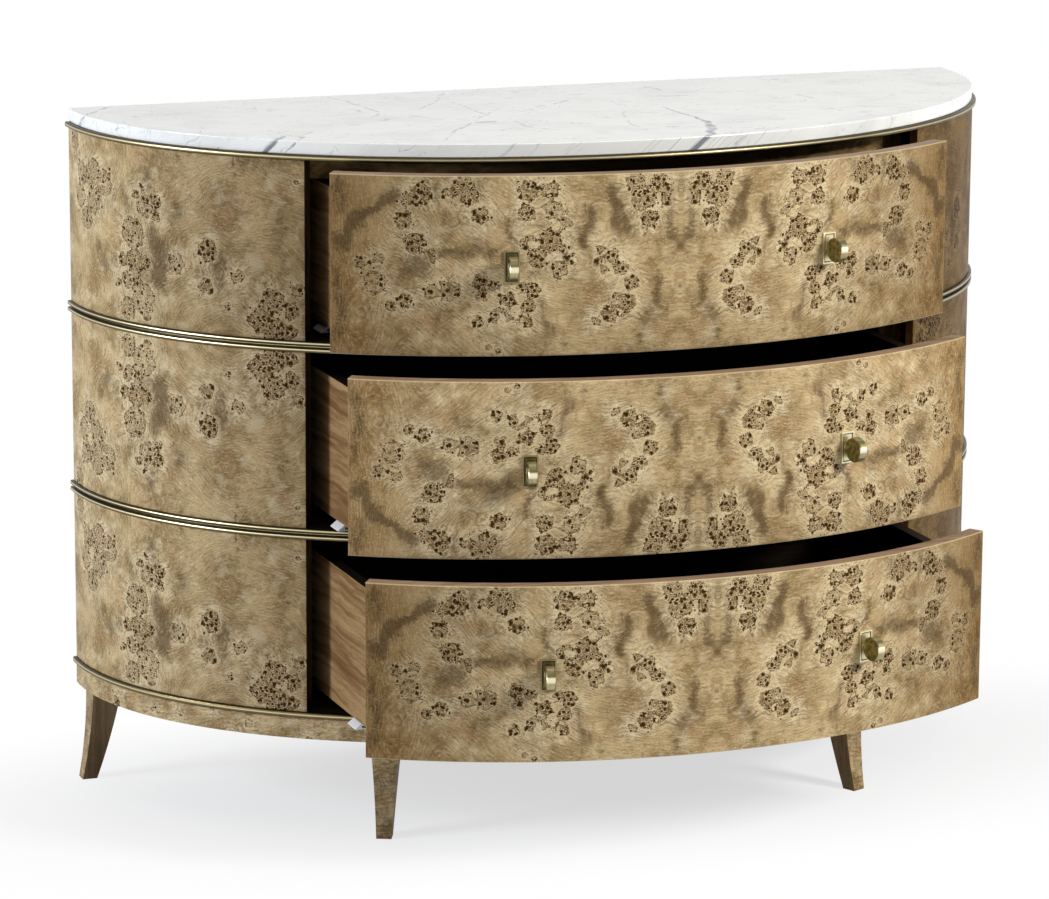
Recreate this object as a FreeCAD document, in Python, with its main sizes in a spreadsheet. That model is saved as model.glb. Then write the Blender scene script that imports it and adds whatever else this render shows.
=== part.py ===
"""Demilune chest: half-oval carcass, three bow-fronted drawers on runners, brass beads, marble top, sabre legs.

Millimetres, +Z up, the front faces -Y. The plan is an ellipse cut by the back plane, and every curved
face is an ellipse with the same centre whose half-axes are both smaller by an inset.
"""
import FreeCAD
import Part
import Sketcher
import math
import os

SIZES = {
    # Plan of the carcass
    "half_width": 605.0,
    "bow_depth": 453.0,
    "back_offset": 17.5,
    "origin_back": 348.996,
    # Heights, from the floor up
    "leg_height": 123.5,
    "apron_height": 27.0,
    "bottom_bead_height": 7.5,
    "lower_tier": 219.5,
    "middle_tier": 220.0,
    "upper_tier": 222.0,
    "bead_pair_height": 13.6,
    "top_bead_height": 6.5,
    "marble_thickness": 16.7,
    # Carcass boards
    "panel_thickness": 19.0,
    "back_thickness": 8.0,
    "back_clearance": 1.0,
    "opening_half": 406.0,
    "frame_lap": 24.0,
    "partition_thickness": 18.0,
    "stile_width": 31.5,
    "stile_thickness": 22.0,
    "frame_setback": 58.0,
    "rail_height": 31.0,
    "rail_thickness": 22.0,
    "apron_rail_thickness": 19.0,
    # Top slab and brass beads
    "marble_setback": 1.0,
    "marble_easing": 1.5,
    "bead_land": 6.0,
    "bead_projection": 4.5,
    "bead_round": 2.4,
    "bead_groove_height": 2.4,
    "bead_groove_setback": 1.0,
    # Legs and their fixings
    "leg_top_inset": 12.5,
    "leg_top_width": 37.0,
    "leg_top_depth": 38.5,
    "leg_knee_height": 61.0,
    "leg_knee_inset": 8.8,
    "leg_knee_width": 26.4,
    "leg_knee_depth": 28.4,
    "leg_foot_inset": -0.8,
    "leg_foot_width": 19.0,
    "leg_foot_depth": 19.0,
    "front_leg_x": 322.0,
    "back_leg_y": 18.5,
    "block_width": 64.0,
    "block_depth": 44.0,
    "bolt_radius": 4.0,
    "bolt_clearance": 0.1,
    "bolt_in_leg": 32.0,
    "bolt_in_block": 22.0,
    # Drawers
    "front_thickness": 20.0,
    "front_gap": 2.0,
    "front_easing": 1.5,
    "drawer_side_gap": 7.0,
    "drawer_side_thickness": 14.0,
    "drawer_side_height": 174.0,
    "drawer_lift": 14.4,
    "drawer_back_gap": 15.0,
    "drawer_back_thickness": 12.0,
    "drawer_bottom_rise": 6.0,
    "drawer_bottom_thickness": 6.0,
    "groove_depth": 5.0,
    "upper_open": 89.0,
    "middle_open": 156.0,
    "lower_open": 221.0,
    # Runners
    "runner_length": 280.0,
    "drawer_runner_length": 184.0,
    "runner_width": 21.0,
    "runner_wall": 1.4,
    "runner_play": 0.4,
    "runner_floor_gap": 5.4,
    "runner_back_gap": 8.0,
    "clip_length": 30.0,
    "clip_height": 9.6,
    "clip_edge": 1.2,
    "clip_overhang": 5.0,
    "clip_shoulder": 5.8,
    "clip_wall": 1.5,
    "clip_slot_width": 9.0,
    "clip_slot_height": 3.0,
    "clip_back": 199.0,
    # Knobs
    "knob_x": 205.0,
    "knob_radius": 15.2,
    "knob_thickness": 10.8,
    "knob_chamfer": 1.0,
    "knob_dish_radius": 12.5,
    "knob_dish_depth": 0.8,
    "knob_gap": 0.3,
    "neck_radius": 4.6,
    "plate_width": 18.5,
    "plate_height": 38.5,
    "plate_thickness": 2.6,
    "plate_border": 1.7,
    "plate_recess": 0.7,
    "pin_radius": 1.1,
    "pin_inset": 4.2,
    "pin_depth": 1.2,
    "stud_radius": 2.5,
    "stud_length": 15.0,
    "stud_clearance": 0.15,
}
SPARE = 40.0
"""Overlength of the blanks that are trimmed to the plan."""


class Size:
    """A length that knows its value and the expression that yields it from the sheet."""

    def __init__(self, value, text):
        self.value = value
        self.text = text

    @staticmethod
    def of(other):
        return other if isinstance(other, Size) else Size(float(other), repr(float(other)))

    def join(self, sign, other, value):
        return Size(value, "(%s %s %s)" % (self.text, sign, Size.of(other).text))

    def __add__(self, other):
        return self.join("+", other, self.value + Size.of(other).value)

    def __sub__(self, other):
        return self.join("-", other, self.value - Size.of(other).value)

    def __mul__(self, other):
        return self.join("*", other, self.value * Size.of(other).value)

    def __truediv__(self, other):
        return self.join("/", other, self.value / Size.of(other).value)

    def __neg__(self):
        return Size(0.0, "0.0") - self


class Dims:
    """The driving dimensions by name, each bound to its cell of the sheet."""

    def __init__(self, document):
        sheet = document.addObject("Spreadsheet::Sheet", "dims")
        for row, (name, value) in enumerate(SIZES.items(), start=1):
            sheet.set("A%d" % row, name)
            sheet.set("B%d" % row, str(value))
            sheet.setAlias("B%d" % row, name)
            setattr(self, name, Size(value, "dims." + name))


doc = FreeCAD.newDocument("demilune_chest")
d = Dims(doc)
doc.recompute()
nodes = []


def node(label, obj):
    """Register an object as a finished piece of the chest."""
    obj.Label = label
    nodes.append(obj)
    return obj


def bind(obj, **sizes):
    """Bind properties to expressions; a double underscore in a name stands for a dot."""
    for name, size in sizes.items():
        obj.setExpression(name.replace("__", "."), Size.of(size).text)


# The plan: levels, depths and the outline

Z_APRON = d.leg_height
Z_BASE = Z_APRON + d.apron_height
Z_LOWER = Z_BASE + d.bottom_bead_height
Z_LOWER_TOP = Z_LOWER + d.lower_tier
Z_MIDDLE = Z_LOWER_TOP + d.bead_pair_height
Z_MIDDLE_TOP = Z_MIDDLE + d.middle_tier
Z_UPPER = Z_MIDDLE_TOP + d.bead_pair_height
Z_UPPER_TOP = Z_UPPER + d.upper_tier
Z_MARBLE = Z_UPPER_TOP + d.top_bead_height
Z_TOP = Z_MARBLE + d.marble_thickness

Y_BACK = d.origin_back
Y_CENTRE = Y_BACK - d.back_offset
Y_FRONT = Y_CENTRE - d.bow_depth
Y_INNER_BACK = Y_BACK - d.back_thickness
BAY_HALF = d.opening_half - d.frame_lap
WIDE = (-d.half_width - SPARE, d.half_width + SPARE)
DEEP = (Y_FRONT - SPARE, Y_BACK)


def curve_y(x, inset):
    """Depth of the curve with an inset at a distance x from the middle."""
    across = d.half_width - inset
    share = x / across
    root = Size(math.sqrt(1 - share.value ** 2), "sqrt(1 - %s^2)" % share.text)
    return Y_CENTRE - (d.bow_depth - inset) * root


def face_frame(x, forward=0.0, z=0.0):
    """Placement on the outline at x: local -Y points straight out of the face, local X runs along it."""
    a, b = d.half_width.value, d.bow_depth.value
    y = curve_y(Size.of(abs(x)), Size.of(0.0)).value
    turn = math.degrees(math.atan2(x / a ** 2, (Y_CENTRE.value - y) / b ** 2))
    spot = FreeCAD.Vector(x, y - forward, z)
    return FreeCAD.Placement(spot, FreeCAD.Rotation(FreeCAD.Vector(0, 0, 1), turn))


# Plain solids and booleans

def box(name, x, y, z):
    """Box between pairs of limits."""
    obj = doc.addObject("Part::Box", name)
    bind(obj, Length=Size.of(x[1]) - x[0], Width=Size.of(y[1]) - y[0], Height=Size.of(z[1]) - z[0])
    bind(obj, Placement__Base__x=x[0], Placement__Base__y=y[0], Placement__Base__z=z[0])
    return obj


def wedge(name, front_half, back_half, y, z):
    """Block between pairs of limits in depth and height, with its own half width at the front and at the back."""
    obj = doc.addObject("Part::Wedge", name)
    bind(obj, Xmin=-front_half, Xmax=front_half, X2min=-back_half, X2max=back_half)
    bind(obj, Ymin=y[0], Ymax=y[1], Zmin=z[0], Zmax=z[1], Z2min=z[0], Z2max=z[1])
    return obj


def oval(name, inset, z, forward=0.0):
    """Upright elliptic cylinder with an inset from the outline, moved forward with a drawer."""
    edge = doc.addObject("Part::Ellipse", name + "_edge")
    bind(edge, MajorRadius=d.half_width - inset, MinorRadius=d.bow_depth - inset)
    bind(edge, Placement__Base__y=Y_CENTRE - forward, Placement__Base__z=z[0])
    obj = doc.addObject("Part::Extrusion", name)
    obj.Base = edge
    obj.DirMode = "Custom"
    obj.Dir = FreeCAD.Vector(0, 0, 1)
    obj.Solid = True
    bind(obj, LengthFwd=Size.of(z[1]) - z[0])
    return obj


def rod(name, radius, length, place):
    """Cylinder at a worked-out placement."""
    obj = doc.addObject("Part::Cylinder", name)
    bind(obj, Radius=radius, Height=length)
    obj.Placement = place
    return obj


def common(name, base, tool):
    """What two solids share."""
    obj = doc.addObject("Part::Common", name)
    obj.Base, obj.Tool = base, tool
    return obj


def cut(name, base, *tools):
    """A solid less one or more others."""
    for count, tool in enumerate(tools):
        obj = doc.addObject("Part::Cut", name if count == len(tools) - 1 else "%s_cut%d" % (name, count))
        obj.Base, obj.Tool = base, tool
        base = obj
    return base


def fuse(name, *solids):
    """Solids joined into one."""
    obj = doc.addObject("Part::MultiFuse", name)
    obj.Shapes = list(solids)
    return obj


def group(name, *solids):
    """Separate solids kept together as one node."""
    obj = doc.addObject("Part::Compound", name)
    obj.Links = list(solids)
    return obj


def mirrored(name, source):
    """Mirror image across the middle plane."""
    obj = doc.addObject("Part::Mirroring", name)
    obj.Source = source
    obj.Normal = FreeCAD.Vector(1, 0, 0)
    return obj


def eased(name, base, radius, wanted):
    """Round over the edges that a test picks out."""
    doc.recompute()
    picked = [i for i, edge in enumerate(base.Shape.Edges, start=1) if wanted(edge)]
    obj = doc.addObject("Part::Fillet", name)
    obj.Base = base
    obj.Edges = [(i, radius.value, radius.value) for i in picked]
    return obj


def follows_oval(inset):
    """Test for edges that run along the curve with an inset."""
    across = d.half_width.value - inset.value

    def wanted(edge):
        return isinstance(edge.Curve, Part.Ellipse) and abs(edge.Curve.MajorRadius - across) < 1e-6

    return wanted


# Bodies with sketches

def new_body(name):
    """Empty body."""
    return doc.addObject("PartDesign::Body", name)


def new_sketch(body, name, role, offset=0.0, slide=0.0):
    """Sketch on an origin plane of its body, lifted off it by offset and moved along its own Y by slide."""
    sketch = body.newObject("Sketcher::SketchObject", name)
    plane = [f for f in body.Origin.OriginFeatures if f.Role == role][0]
    sketch.AttachmentSupport = [(plane, "")]
    sketch.MapMode = "FlatFace"
    bind(sketch, AttachmentOffset__Base__z=offset, AttachmentOffset__Base__y=slide)
    return sketch


def fix_point(sketch, geometry, point, x, y):
    """Hold one point of a sketch at a place given by sizes."""
    for kind, size, axis in (("DistanceX", x, -2), ("DistanceY", y, -1)):
        size = Size.of(size)
        if size.text == "0.0":
            sketch.addConstraint(Sketcher.Constraint("PointOnObject", geometry, point, axis))
            continue
        index = sketch.addConstraint(Sketcher.Constraint(kind, -1, 1, geometry, point, size.value))
        sketch.setExpression("Constraints[%d]" % index, size.text)


def draw_polygon(sketch, points):
    """Closed outline of straight lines through points given by sizes."""
    spots = [FreeCAD.Vector(Size.of(x).value, Size.of(y).value, 0) for x, y in points]
    first = sketch.GeometryCount
    for spot, after in zip(spots, spots[1:] + spots[:1]):
        sketch.addGeometry(Part.LineSegment(spot, after))
    for i, (x, y) in enumerate(points):
        before = first + (i - 1) % len(points)
        sketch.addConstraint(Sketcher.Constraint("Coincident", before, 2, first + i, 1))
        fix_point(sketch, first + i, 1, x, y)


def draw_rectangle(sketch, x, y):
    """Rectangle between pairs of limits."""
    draw_polygon(sketch, [(x[0], y[0]), (x[1], y[0]), (x[1], y[1]), (x[0], y[1])])


def draw_circle(sketch, x, y, radius):
    """Circle about a point given by sizes."""
    centre = FreeCAD.Vector(Size.of(x).value, Size.of(y).value, 0)
    index = sketch.addGeometry(Part.Circle(centre, FreeCAD.Vector(0, 0, 1), radius.value))
    fix_point(sketch, index, 3, x, y)
    held = sketch.addConstraint(Sketcher.Constraint("Radius", index, radius.value))
    sketch.setExpression("Constraints[%d]" % held, radius.text)


def pad(body, sketch, length, name, reverse=False):
    """Raise a sketch into a solid."""
    feature = body.newObject("PartDesign::Pad", name)
    feature.Profile = sketch
    feature.Reversed = reverse
    bind(feature, Length=length)
    return feature


def pocket(body, sketch, depth, name, reverse=False):
    """Sink a sketch into the solid, and make sure that it takes material away."""
    doc.recompute()
    before = body.Shape.Volume
    feature = body.newObject("PartDesign::Pocket", name)
    feature.Profile = sketch
    feature.Reversed = reverse
    bind(feature, Length=depth)
    doc.recompute()
    if body.Shape.Volume >= before:
        raise RuntimeError(name + " cuts nothing")
    return feature


# Carcass: panels, boards and beads

outline = oval("outline", 0.0, (0.0, Z_TOP))
panel_inside = oval("panel_inside", d.panel_thickness, (0.0, Z_TOP))
board_outline = oval("board_outline", d.bead_land, (0.0, Z_TOP))


def build_panels():
    """Six curved side panels, one for each tier on each side of the drawers."""
    tiers = (("upper", Z_UPPER, Z_UPPER_TOP), ("middle", Z_MIDDLE, Z_MIDDLE_TOP), ("lower", Z_LOWER, Z_LOWER_TOP))
    for tier, low, high in tiers:
        for side, x in (("left", (WIDE[0], -d.opening_half)), ("right", (d.opening_half, WIDE[1]))):
            name = "%s_%s_panel" % (tier, side)
            blank = common(name + "_blank", outline, box(name + "_span", x, DEEP, (low, high)))
            node(name, cut(name, blank, panel_inside))


def build_frame():
    """Partitions, stiles and top rail that frame the drawer bays; returns what stands through the dividers."""
    front = curve_y(BAY_HALF, d.frame_setback)
    behind = front + d.stile_thickness
    height = (Z_LOWER, Z_UPPER_TOP)
    uprights = []
    for side, sign in (("left", -1), ("right", 1)):
        stile_x = sorted((BAY_HALF * sign, (BAY_HALF + d.stile_width) * sign), key=lambda s: s.value)
        wall_x = sorted((BAY_HALF * sign, (BAY_HALF + d.partition_thickness) * sign), key=lambda s: s.value)
        stile = node(side + "_stile", box(side + "_stile", stile_x, (front, behind), height))
        wall = node(side + "_partition", box(side + "_partition", wall_x, (behind, Y_INNER_BACK), height))
        uprights += [stile, wall]
    rail_z = (Z_UPPER_TOP - d.rail_height, Z_UPPER_TOP)
    rail_blank = common(
        "top_rail_blank",
        oval("top_rail_face", d.frame_setback, rail_z),
        box("top_rail_span", (-BAY_HALF, BAY_HALF), (Y_FRONT, Y_CENTRE), rail_z),
    )
    rail_inside = oval("top_rail_inside", d.frame_setback + d.rail_thickness, rail_z)
    node("top_rail", cut("top_rail", rail_blank, rail_inside))
    return uprights


def build_boards(uprights):
    """Back panel, and the full-plan boards that carry the beads on their edges."""
    reach = d.half_width - d.panel_thickness - d.back_clearance
    back = node("back_panel", box("back_panel", (-reach, reach), (Y_INNER_BACK, Y_BACK), (Z_BASE, Z_MARBLE)))
    levels = (
        ("top_board", Z_UPPER_TOP, Z_MARBLE, ()),
        ("upper_divider", Z_MIDDLE_TOP, Z_UPPER, uprights),
        ("lower_divider", Z_LOWER_TOP, Z_MIDDLE, uprights),
        ("bottom_board", Z_BASE, Z_LOWER, ()),
    )
    for name, low, high, through in levels:
        blank = common(name + "_blank", board_outline, box(name + "_span", WIDE, DEEP, (low, high)))
        node(name, cut(name, blank, back, *through))


def bead_ring(name, inset, z):
    """Flat strip round a board's edge, out to an inset."""
    blank = common(name + "_blank", oval(name + "_nose", inset, z), box(name + "_span", WIDE, DEEP, z))
    return cut(name, blank, board_outline)


def build_beads():
    """Half-round brass beads: a single one at the top and the bottom, a grooved pair at each divider."""
    nose = -d.bead_projection
    for name, low, high in (("top_bead", Z_UPPER_TOP, Z_MARBLE), ("bottom_bead", Z_BASE, Z_LOWER)):
        strip = bead_ring(name + "_strip", nose, (low, high))
        node(name, eased(name, strip, d.bead_round, follows_oval(nose)))
    single = (d.bead_pair_height - d.bead_groove_height) / 2
    for name, low in (("upper_bead", Z_MIDDLE_TOP), ("lower_bead", Z_LOWER_TOP)):
        high = low + d.bead_pair_height
        pair = fuse(
            name + "_pair",
            bead_ring(name + "_under", nose, (low, low + single)),
            bead_ring(name + "_groove", d.bead_groove_setback, (low + single, high - single)),
            bead_ring(name + "_over", nose, (high - single, high)),
        )
        node(name, eased(name, pair, d.bead_round, follows_oval(nose)))


def build_top():
    """Marble slab with an eased upper and lower edge."""
    z = (Z_MARBLE, Z_TOP)
    slab = common("slab", oval("slab_outline", d.marble_setback, z), box("slab_span", WIDE, DEEP, z))
    node("marble_top", eased("marble_top", slab, d.marble_easing, follows_oval(d.marble_setback)))


# Apron, legs and what fastens them

def leg_places():
    """Name and floor placement of each leg, on the outline with its outer face turned outwards."""
    front = d.front_leg_x.value
    up = FreeCAD.Vector(0, 0, 1)
    depth = (Y_BACK - d.back_leg_y).value
    across = d.half_width.value
    return (
        ("front_left", face_frame(-front)),
        ("front_right", face_frame(front)),
        ("back_left", FreeCAD.Placement(FreeCAD.Vector(-across, depth, 0), FreeCAD.Rotation(up, -90))),
        ("back_right", FreeCAD.Placement(FreeCAD.Vector(across, depth, 0), FreeCAD.Rotation(up, 90))),
    )


def build_leg(name, place):
    """Sabre leg: three square sections that taper and sweep outwards, with a bolt hole in its top."""
    body = new_body(name)
    sections = (
        ("foot", 0.0, d.leg_foot_inset, d.leg_foot_width, d.leg_foot_depth),
        ("knee", d.leg_knee_height, d.leg_knee_inset, d.leg_knee_width, d.leg_knee_depth),
        ("top", d.leg_height, d.leg_top_inset, d.leg_top_width, d.leg_top_depth),
    )
    drawn = []
    for part, level, inset, width, depth in sections:
        sketch = new_sketch(body, "%s_%s" % (name, part), "XY_Plane", level)
        draw_rectangle(sketch, (-width / 2, width / 2), (inset, inset + depth))
        drawn.append(sketch)
    loft = body.newObject("PartDesign::AdditiveLoft", name + "_sweep")
    loft.Profile = drawn[0]
    loft.Sections = drawn[1:]
    hole = new_sketch(body, name + "_bolt_hole", "XY_Plane", d.leg_height)
    draw_circle(hole, 0.0, d.leg_top_inset + d.leg_top_depth / 2, d.bolt_radius + d.bolt_clearance)
    pocket(body, hole, d.bolt_in_leg, name + "_bolt_bore")
    body.Placement = place
    node(name, body)


def build_base():
    """Apron ring, corner blocks, legs and leg bolts."""
    z = (Z_APRON, Z_BASE)
    apron_blank = common("apron_blank", outline, box("apron_span", WIDE, DEEP, z))
    node("apron", cut("apron", apron_blank, panel_inside))
    reach = d.half_width - d.panel_thickness - d.block_depth
    rail_y = (Y_BACK - d.apron_rail_thickness, Y_BACK)
    node("apron_back_rail", box("apron_back_rail", (-reach, reach), rail_y, z))
    inside = common("apron_inside", panel_inside, box("apron_room", WIDE, DEEP, z))
    blocks = []
    bolts = []
    axis = d.leg_top_inset + d.leg_top_depth / 2
    for corner, place in leg_places():
        build_leg(corner + "_leg", place)
        blank = doc.addObject("Part::Box", corner + "_block_blank")
        bind(blank, Length=d.block_width, Width=d.block_depth + d.panel_thickness, Height=d.apron_height)
        blank.Placement = place * FreeCAD.Placement(
            FreeCAD.Vector(-d.block_width.value / 2, 0, Z_APRON.value), FreeCAD.Rotation()
        )
        low = Z_APRON - d.bolt_in_leg
        length = d.bolt_in_leg + d.bolt_in_block
        spot = place * FreeCAD.Placement(FreeCAD.Vector(0, axis.value, low.value), FreeCAD.Rotation())
        bolts.append(rod(corner + "_bolt", d.bolt_radius, length, spot))
        hole = rod(corner + "_block_hole", d.bolt_radius + d.bolt_clearance, length, spot)
        blocks.append(cut(corner + "_block", common(corner + "_block_body", inside, blank), hole))
    node("leg_blocks", group("leg_blocks", *blocks))
    node("leg_bolts", group("leg_bolts", *bolts))


# Drawers and their runners

SIDE_OUT = BAY_HALF - d.drawer_side_gap
SIDE_IN = SIDE_OUT - d.drawer_side_thickness
FRONT_HALF = d.opening_half - d.front_gap
RUNNER_TAIL = Y_INNER_BACK - d.runner_back_gap
CLIP_TAIL = RUNNER_TAIL - d.clip_back
KNOB_STANDOFF = d.plate_thickness + d.knob_gap + d.knob_radius


def channel_pair(name, rank, lip, web, tail, length):
    """U-shaped channels along Y on the left and the right: rank 0 under the drawer, 1 in the middle, 2 inside.

    The lip is the level of the open side and the web that of the closed side.
    """
    inset = (d.runner_wall + d.runner_play) * rank
    edge = d.runner_play - SIDE_IN
    left = edge + inset
    right = edge + d.runner_width - inset
    wall = d.runner_wall
    inner_web = web + wall if lip.value > web.value else web - wall
    body = new_body(name + "_left")
    sketch = new_sketch(body, name + "_section", "XZ_Plane", -tail)
    outer = [(left, lip), (left, web), (right, web), (right, lip)]
    inner = [(right - wall, lip), (right - wall, inner_web), (left + wall, inner_web), (left + wall, lip)]
    draw_polygon(sketch, outer + inner)
    pad(body, sketch, length, name + "_rolled")
    return [body, mirrored(name + "_right", body)]


def build_runners(tier, floor, forward):
    """Drawer members under the drawer bottom and middle members; returns the pair that is fixed to the board."""
    step = d.runner_wall + d.runner_play
    under = floor + d.drawer_lift + d.drawer_bottom_rise
    lip = floor + d.runner_floor_gap
    kinds = (
        ("drawer_runners", 0, lip, under, RUNNER_TAIL - forward, d.drawer_runner_length),
        ("middle_runners", 1, lip - d.runner_play, under - step, RUNNER_TAIL - forward / 2, d.runner_length),
    )
    for kind, rank, low, high, tail, length in kinds:
        name = "%s_%s" % (tier, kind)
        node(name, group(name, *channel_pair(name, rank, low, high, tail, length)))
    return channel_pair(tier + "_cabinet_runner", 2, under - step * 2, floor, RUNNER_TAIL, d.runner_length)


def build_clips(tier, floor, forward):
    """Moulded clips under the drawer sides, sloped on the outside and slotted through."""
    name = tier + "_runner_clips"
    under = floor + d.drawer_lift
    low = under - d.clip_height
    outer, inner = -SIDE_OUT - d.clip_overhang, -SIDE_IN
    body = new_body(name + "_left")
    sketch = new_sketch(body, name + "_section", "XZ_Plane", forward - CLIP_TAIL)
    shoulder = d.clip_shoulder - SIDE_OUT
    draw_polygon(sketch, [(outer, low), (outer, low + d.clip_edge), (shoulder, under), (inner, under), (inner, low)])
    slot_x = (inner - d.clip_wall - d.clip_slot_width, inner - d.clip_wall)
    draw_rectangle(sketch, slot_x, (low + d.clip_wall, low + d.clip_wall + d.clip_slot_height))
    pad(body, sketch, d.clip_length, name + "_moulded")
    node(name, group(name, body, mirrored(name + "_right", body)))


def face_edges(forward):
    """Test for the edges round the bowed face of a drawer front."""
    across = d.half_width.value
    limit = curve_y(FRONT_HALF, d.front_thickness / 2).value - forward.value

    def wanted(edge):
        if isinstance(edge.Curve, Part.Ellipse):
            return abs(edge.Curve.MajorRadius - across) < 1e-6
        upright = abs(edge.BoundBox.ZLength - edge.Length) < 1e-6
        return upright and edge.CenterOfMass.y < limit

    return wanted


def front_span(name, z, forward):
    """Block that trims a drawer front to its width, its ends square to the bowed face."""
    steepness = (d.bow_depth / d.half_width) * (d.bow_depth / d.half_width)
    depth_at_end = Y_CENTRE - curve_y(FRONT_HALF, Size.of(0.0))
    depth = d.bow_depth + SPARE
    half_at_middle = FRONT_HALF - FRONT_HALF * steepness
    half_at_front = half_at_middle + FRONT_HALF * steepness * depth / depth_at_end
    middle = Y_CENTRE - forward
    return wedge(name, half_at_front, half_at_middle, (middle - depth, middle), z)


def build_drawer_box(tier, floor, height, forward):
    """Bow front, two sides, back and bottom."""
    span = (floor, floor + height)
    front_z = (floor + d.front_gap, floor + height - d.front_gap)
    face = oval(tier + "_face", 0.0, front_z, forward)
    hollow = oval(tier + "_hollow", d.front_thickness, span, forward)
    trimmed = common(tier + "_front_face", face, front_span(tier + "_front_span", front_z, forward))
    blank = cut(tier + "_front_blank", trimmed, hollow)
    rounded = eased(tier + "_front_rounded", blank, d.front_easing, face_edges(forward))
    holes = []
    for side, x in (("left", -d.knob_x), ("right", d.knob_x)):
        place = face_frame(x.value, forward.value, (floor + height / 2).value)
        deep = d.stud_length + d.stud_clearance
        inwards = FreeCAD.Placement(
            FreeCAD.Vector(0, deep.value, 0), FreeCAD.Rotation(FreeCAD.Vector(1, 0, 0), 90)
        )
        name = "%s_%s_stud_hole" % (tier, side)
        holes.append(rod(name, d.stud_radius + d.stud_clearance, deep * 2, place * inwards))
    node(tier + "_drawer_front", cut(tier + "_drawer_front", rounded, *holes))

    low = floor + d.drawer_lift
    side_z = (low, low + d.drawer_side_height)
    bottom_z = (low + d.drawer_bottom_rise, low + d.drawer_bottom_rise + d.drawer_bottom_thickness)
    tail = Y_INNER_BACK - d.drawer_back_gap - forward
    depth = (Y_FRONT - forward, tail)
    groove_x = SIDE_IN + d.groove_depth
    bottom_box = box(tier + "_bottom_span", (-groove_x, groove_x), depth, bottom_z)
    bottom = common(tier + "_drawer_bottom", hollow, bottom_box)
    for side, x in (("left", (-SIDE_OUT, -SIDE_IN)), ("right", (SIDE_IN, SIDE_OUT))):
        name = "%s_drawer_%s_side" % (tier, side)
        plank = common(name + "_plank", hollow, box(name + "_span", x, depth, side_z))
        node(name, cut(name, plank, bottom))
    back_y = (tail - d.drawer_back_thickness, tail)
    node(tier + "_drawer_back", box(tier + "_drawer_back", (-SIDE_IN, SIDE_IN), back_y, (bottom_z[1], side_z[1])))
    node(tier + "_drawer_bottom", bottom)


def build_plate(name):
    """Knob plate with a raised border, the stud's hole and a pin's recess in a lower corner."""
    body = new_body(name)
    wide, tall, edge = d.plate_width / 2, d.plate_height / 2, d.plate_border
    outer = new_sketch(body, name + "_outer", "XZ_Plane")
    draw_rectangle(outer, (-wide, wide), (-tall, tall))
    draw_circle(outer, 0.0, 0.0, d.stud_radius + d.stud_clearance)
    pad(body, outer, d.plate_thickness, name + "_blank")
    inner = new_sketch(body, name + "_inner", "XZ_Plane", d.plate_thickness)
    draw_rectangle(inner, (edge - wide, wide - edge), (edge - tall, tall - edge))
    draw_circle(inner, 0.0, 0.0, d.neck_radius)
    pocket(body, inner, d.plate_recess, name + "_field")
    pin = new_sketch(body, name + "_pin", "XZ_Plane", d.plate_thickness)
    draw_circle(pin, d.pin_inset - wide, d.pin_inset - tall, d.pin_radius)
    pocket(body, pin, d.pin_depth, name + "_pin_hole")
    return body


def build_knob(name):
    """Disc that stands on edge with dished faces, on a short neck that ends in a stud."""
    body = new_body(name)
    half, chamfer = d.knob_thickness / 2, d.knob_chamfer
    radius, dish = d.knob_radius, d.knob_dish_radius
    floor = half - d.knob_dish_depth
    profile = new_sketch(body, name + "_profile", "XY_Plane", slide=-KNOB_STANDOFF)
    draw_polygon(profile, [
        (-floor, 0.0), (floor, 0.0), (floor, dish), (half, dish), (half, radius - chamfer),
        (half - chamfer, radius), (chamfer - half, radius), (-half, radius - chamfer), (-half, dish), (-floor, dish),
    ])
    disc = body.newObject("PartDesign::Revolution", name + "_disc")
    disc.Profile = profile
    disc.ReferenceAxis = (profile, ["H_Axis"])
    disc.Angle = 360.0
    neck = new_sketch(body, name + "_neck_ring", "XZ_Plane", d.plate_thickness)
    draw_circle(neck, 0.0, 0.0, d.neck_radius)
    pad(body, neck, KNOB_STANDOFF - d.plate_thickness, name + "_neck")
    stud = new_sketch(body, name + "_stud_ring", "XZ_Plane", d.plate_thickness)
    draw_circle(stud, 0.0, 0.0, d.stud_radius)
    pad(body, stud, d.plate_thickness + d.stud_length, name + "_stud", reverse=True)
    return body


def build_knobs(tier, floor, height, forward):
    """Two knobs and the plates they stand on."""
    kinds = {"knob_plates": [], "knobs": []}
    for side, x in (("left", -d.knob_x), ("right", d.knob_x)):
        place = face_frame(x.value, forward.value, (floor + height / 2).value)
        plate = build_plate("%s_%s_plate" % (tier, side))
        knob = build_knob("%s_%s_knob" % (tier, side))
        plate.Placement = place
        knob.Placement = place
        kinds["knob_plates"].append(plate)
        kinds["knobs"].append(knob)
    for kind, solids in kinds.items():
        node("%s_%s" % (tier, kind), group("%s_%s" % (tier, kind), *solids))


def build_drawers():
    """The three drawers, each as far open as it stands, with the runners that carry them."""
    fixed = []
    tiers = (
        ("upper", Z_UPPER, d.upper_tier, d.upper_open),
        ("middle", Z_MIDDLE, d.middle_tier, d.middle_open),
        ("lower", Z_LOWER, d.lower_tier, d.lower_open),
    )
    for tier, floor, height, forward in tiers:
        build_drawer_box(tier, floor, height, forward)
        build_knobs(tier, floor, height, forward)
        build_clips(tier, floor, forward)
        fixed += build_runners(tier, floor, forward)
    node("cabinet_runners", group("cabinet_runners", *fixed))


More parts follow.
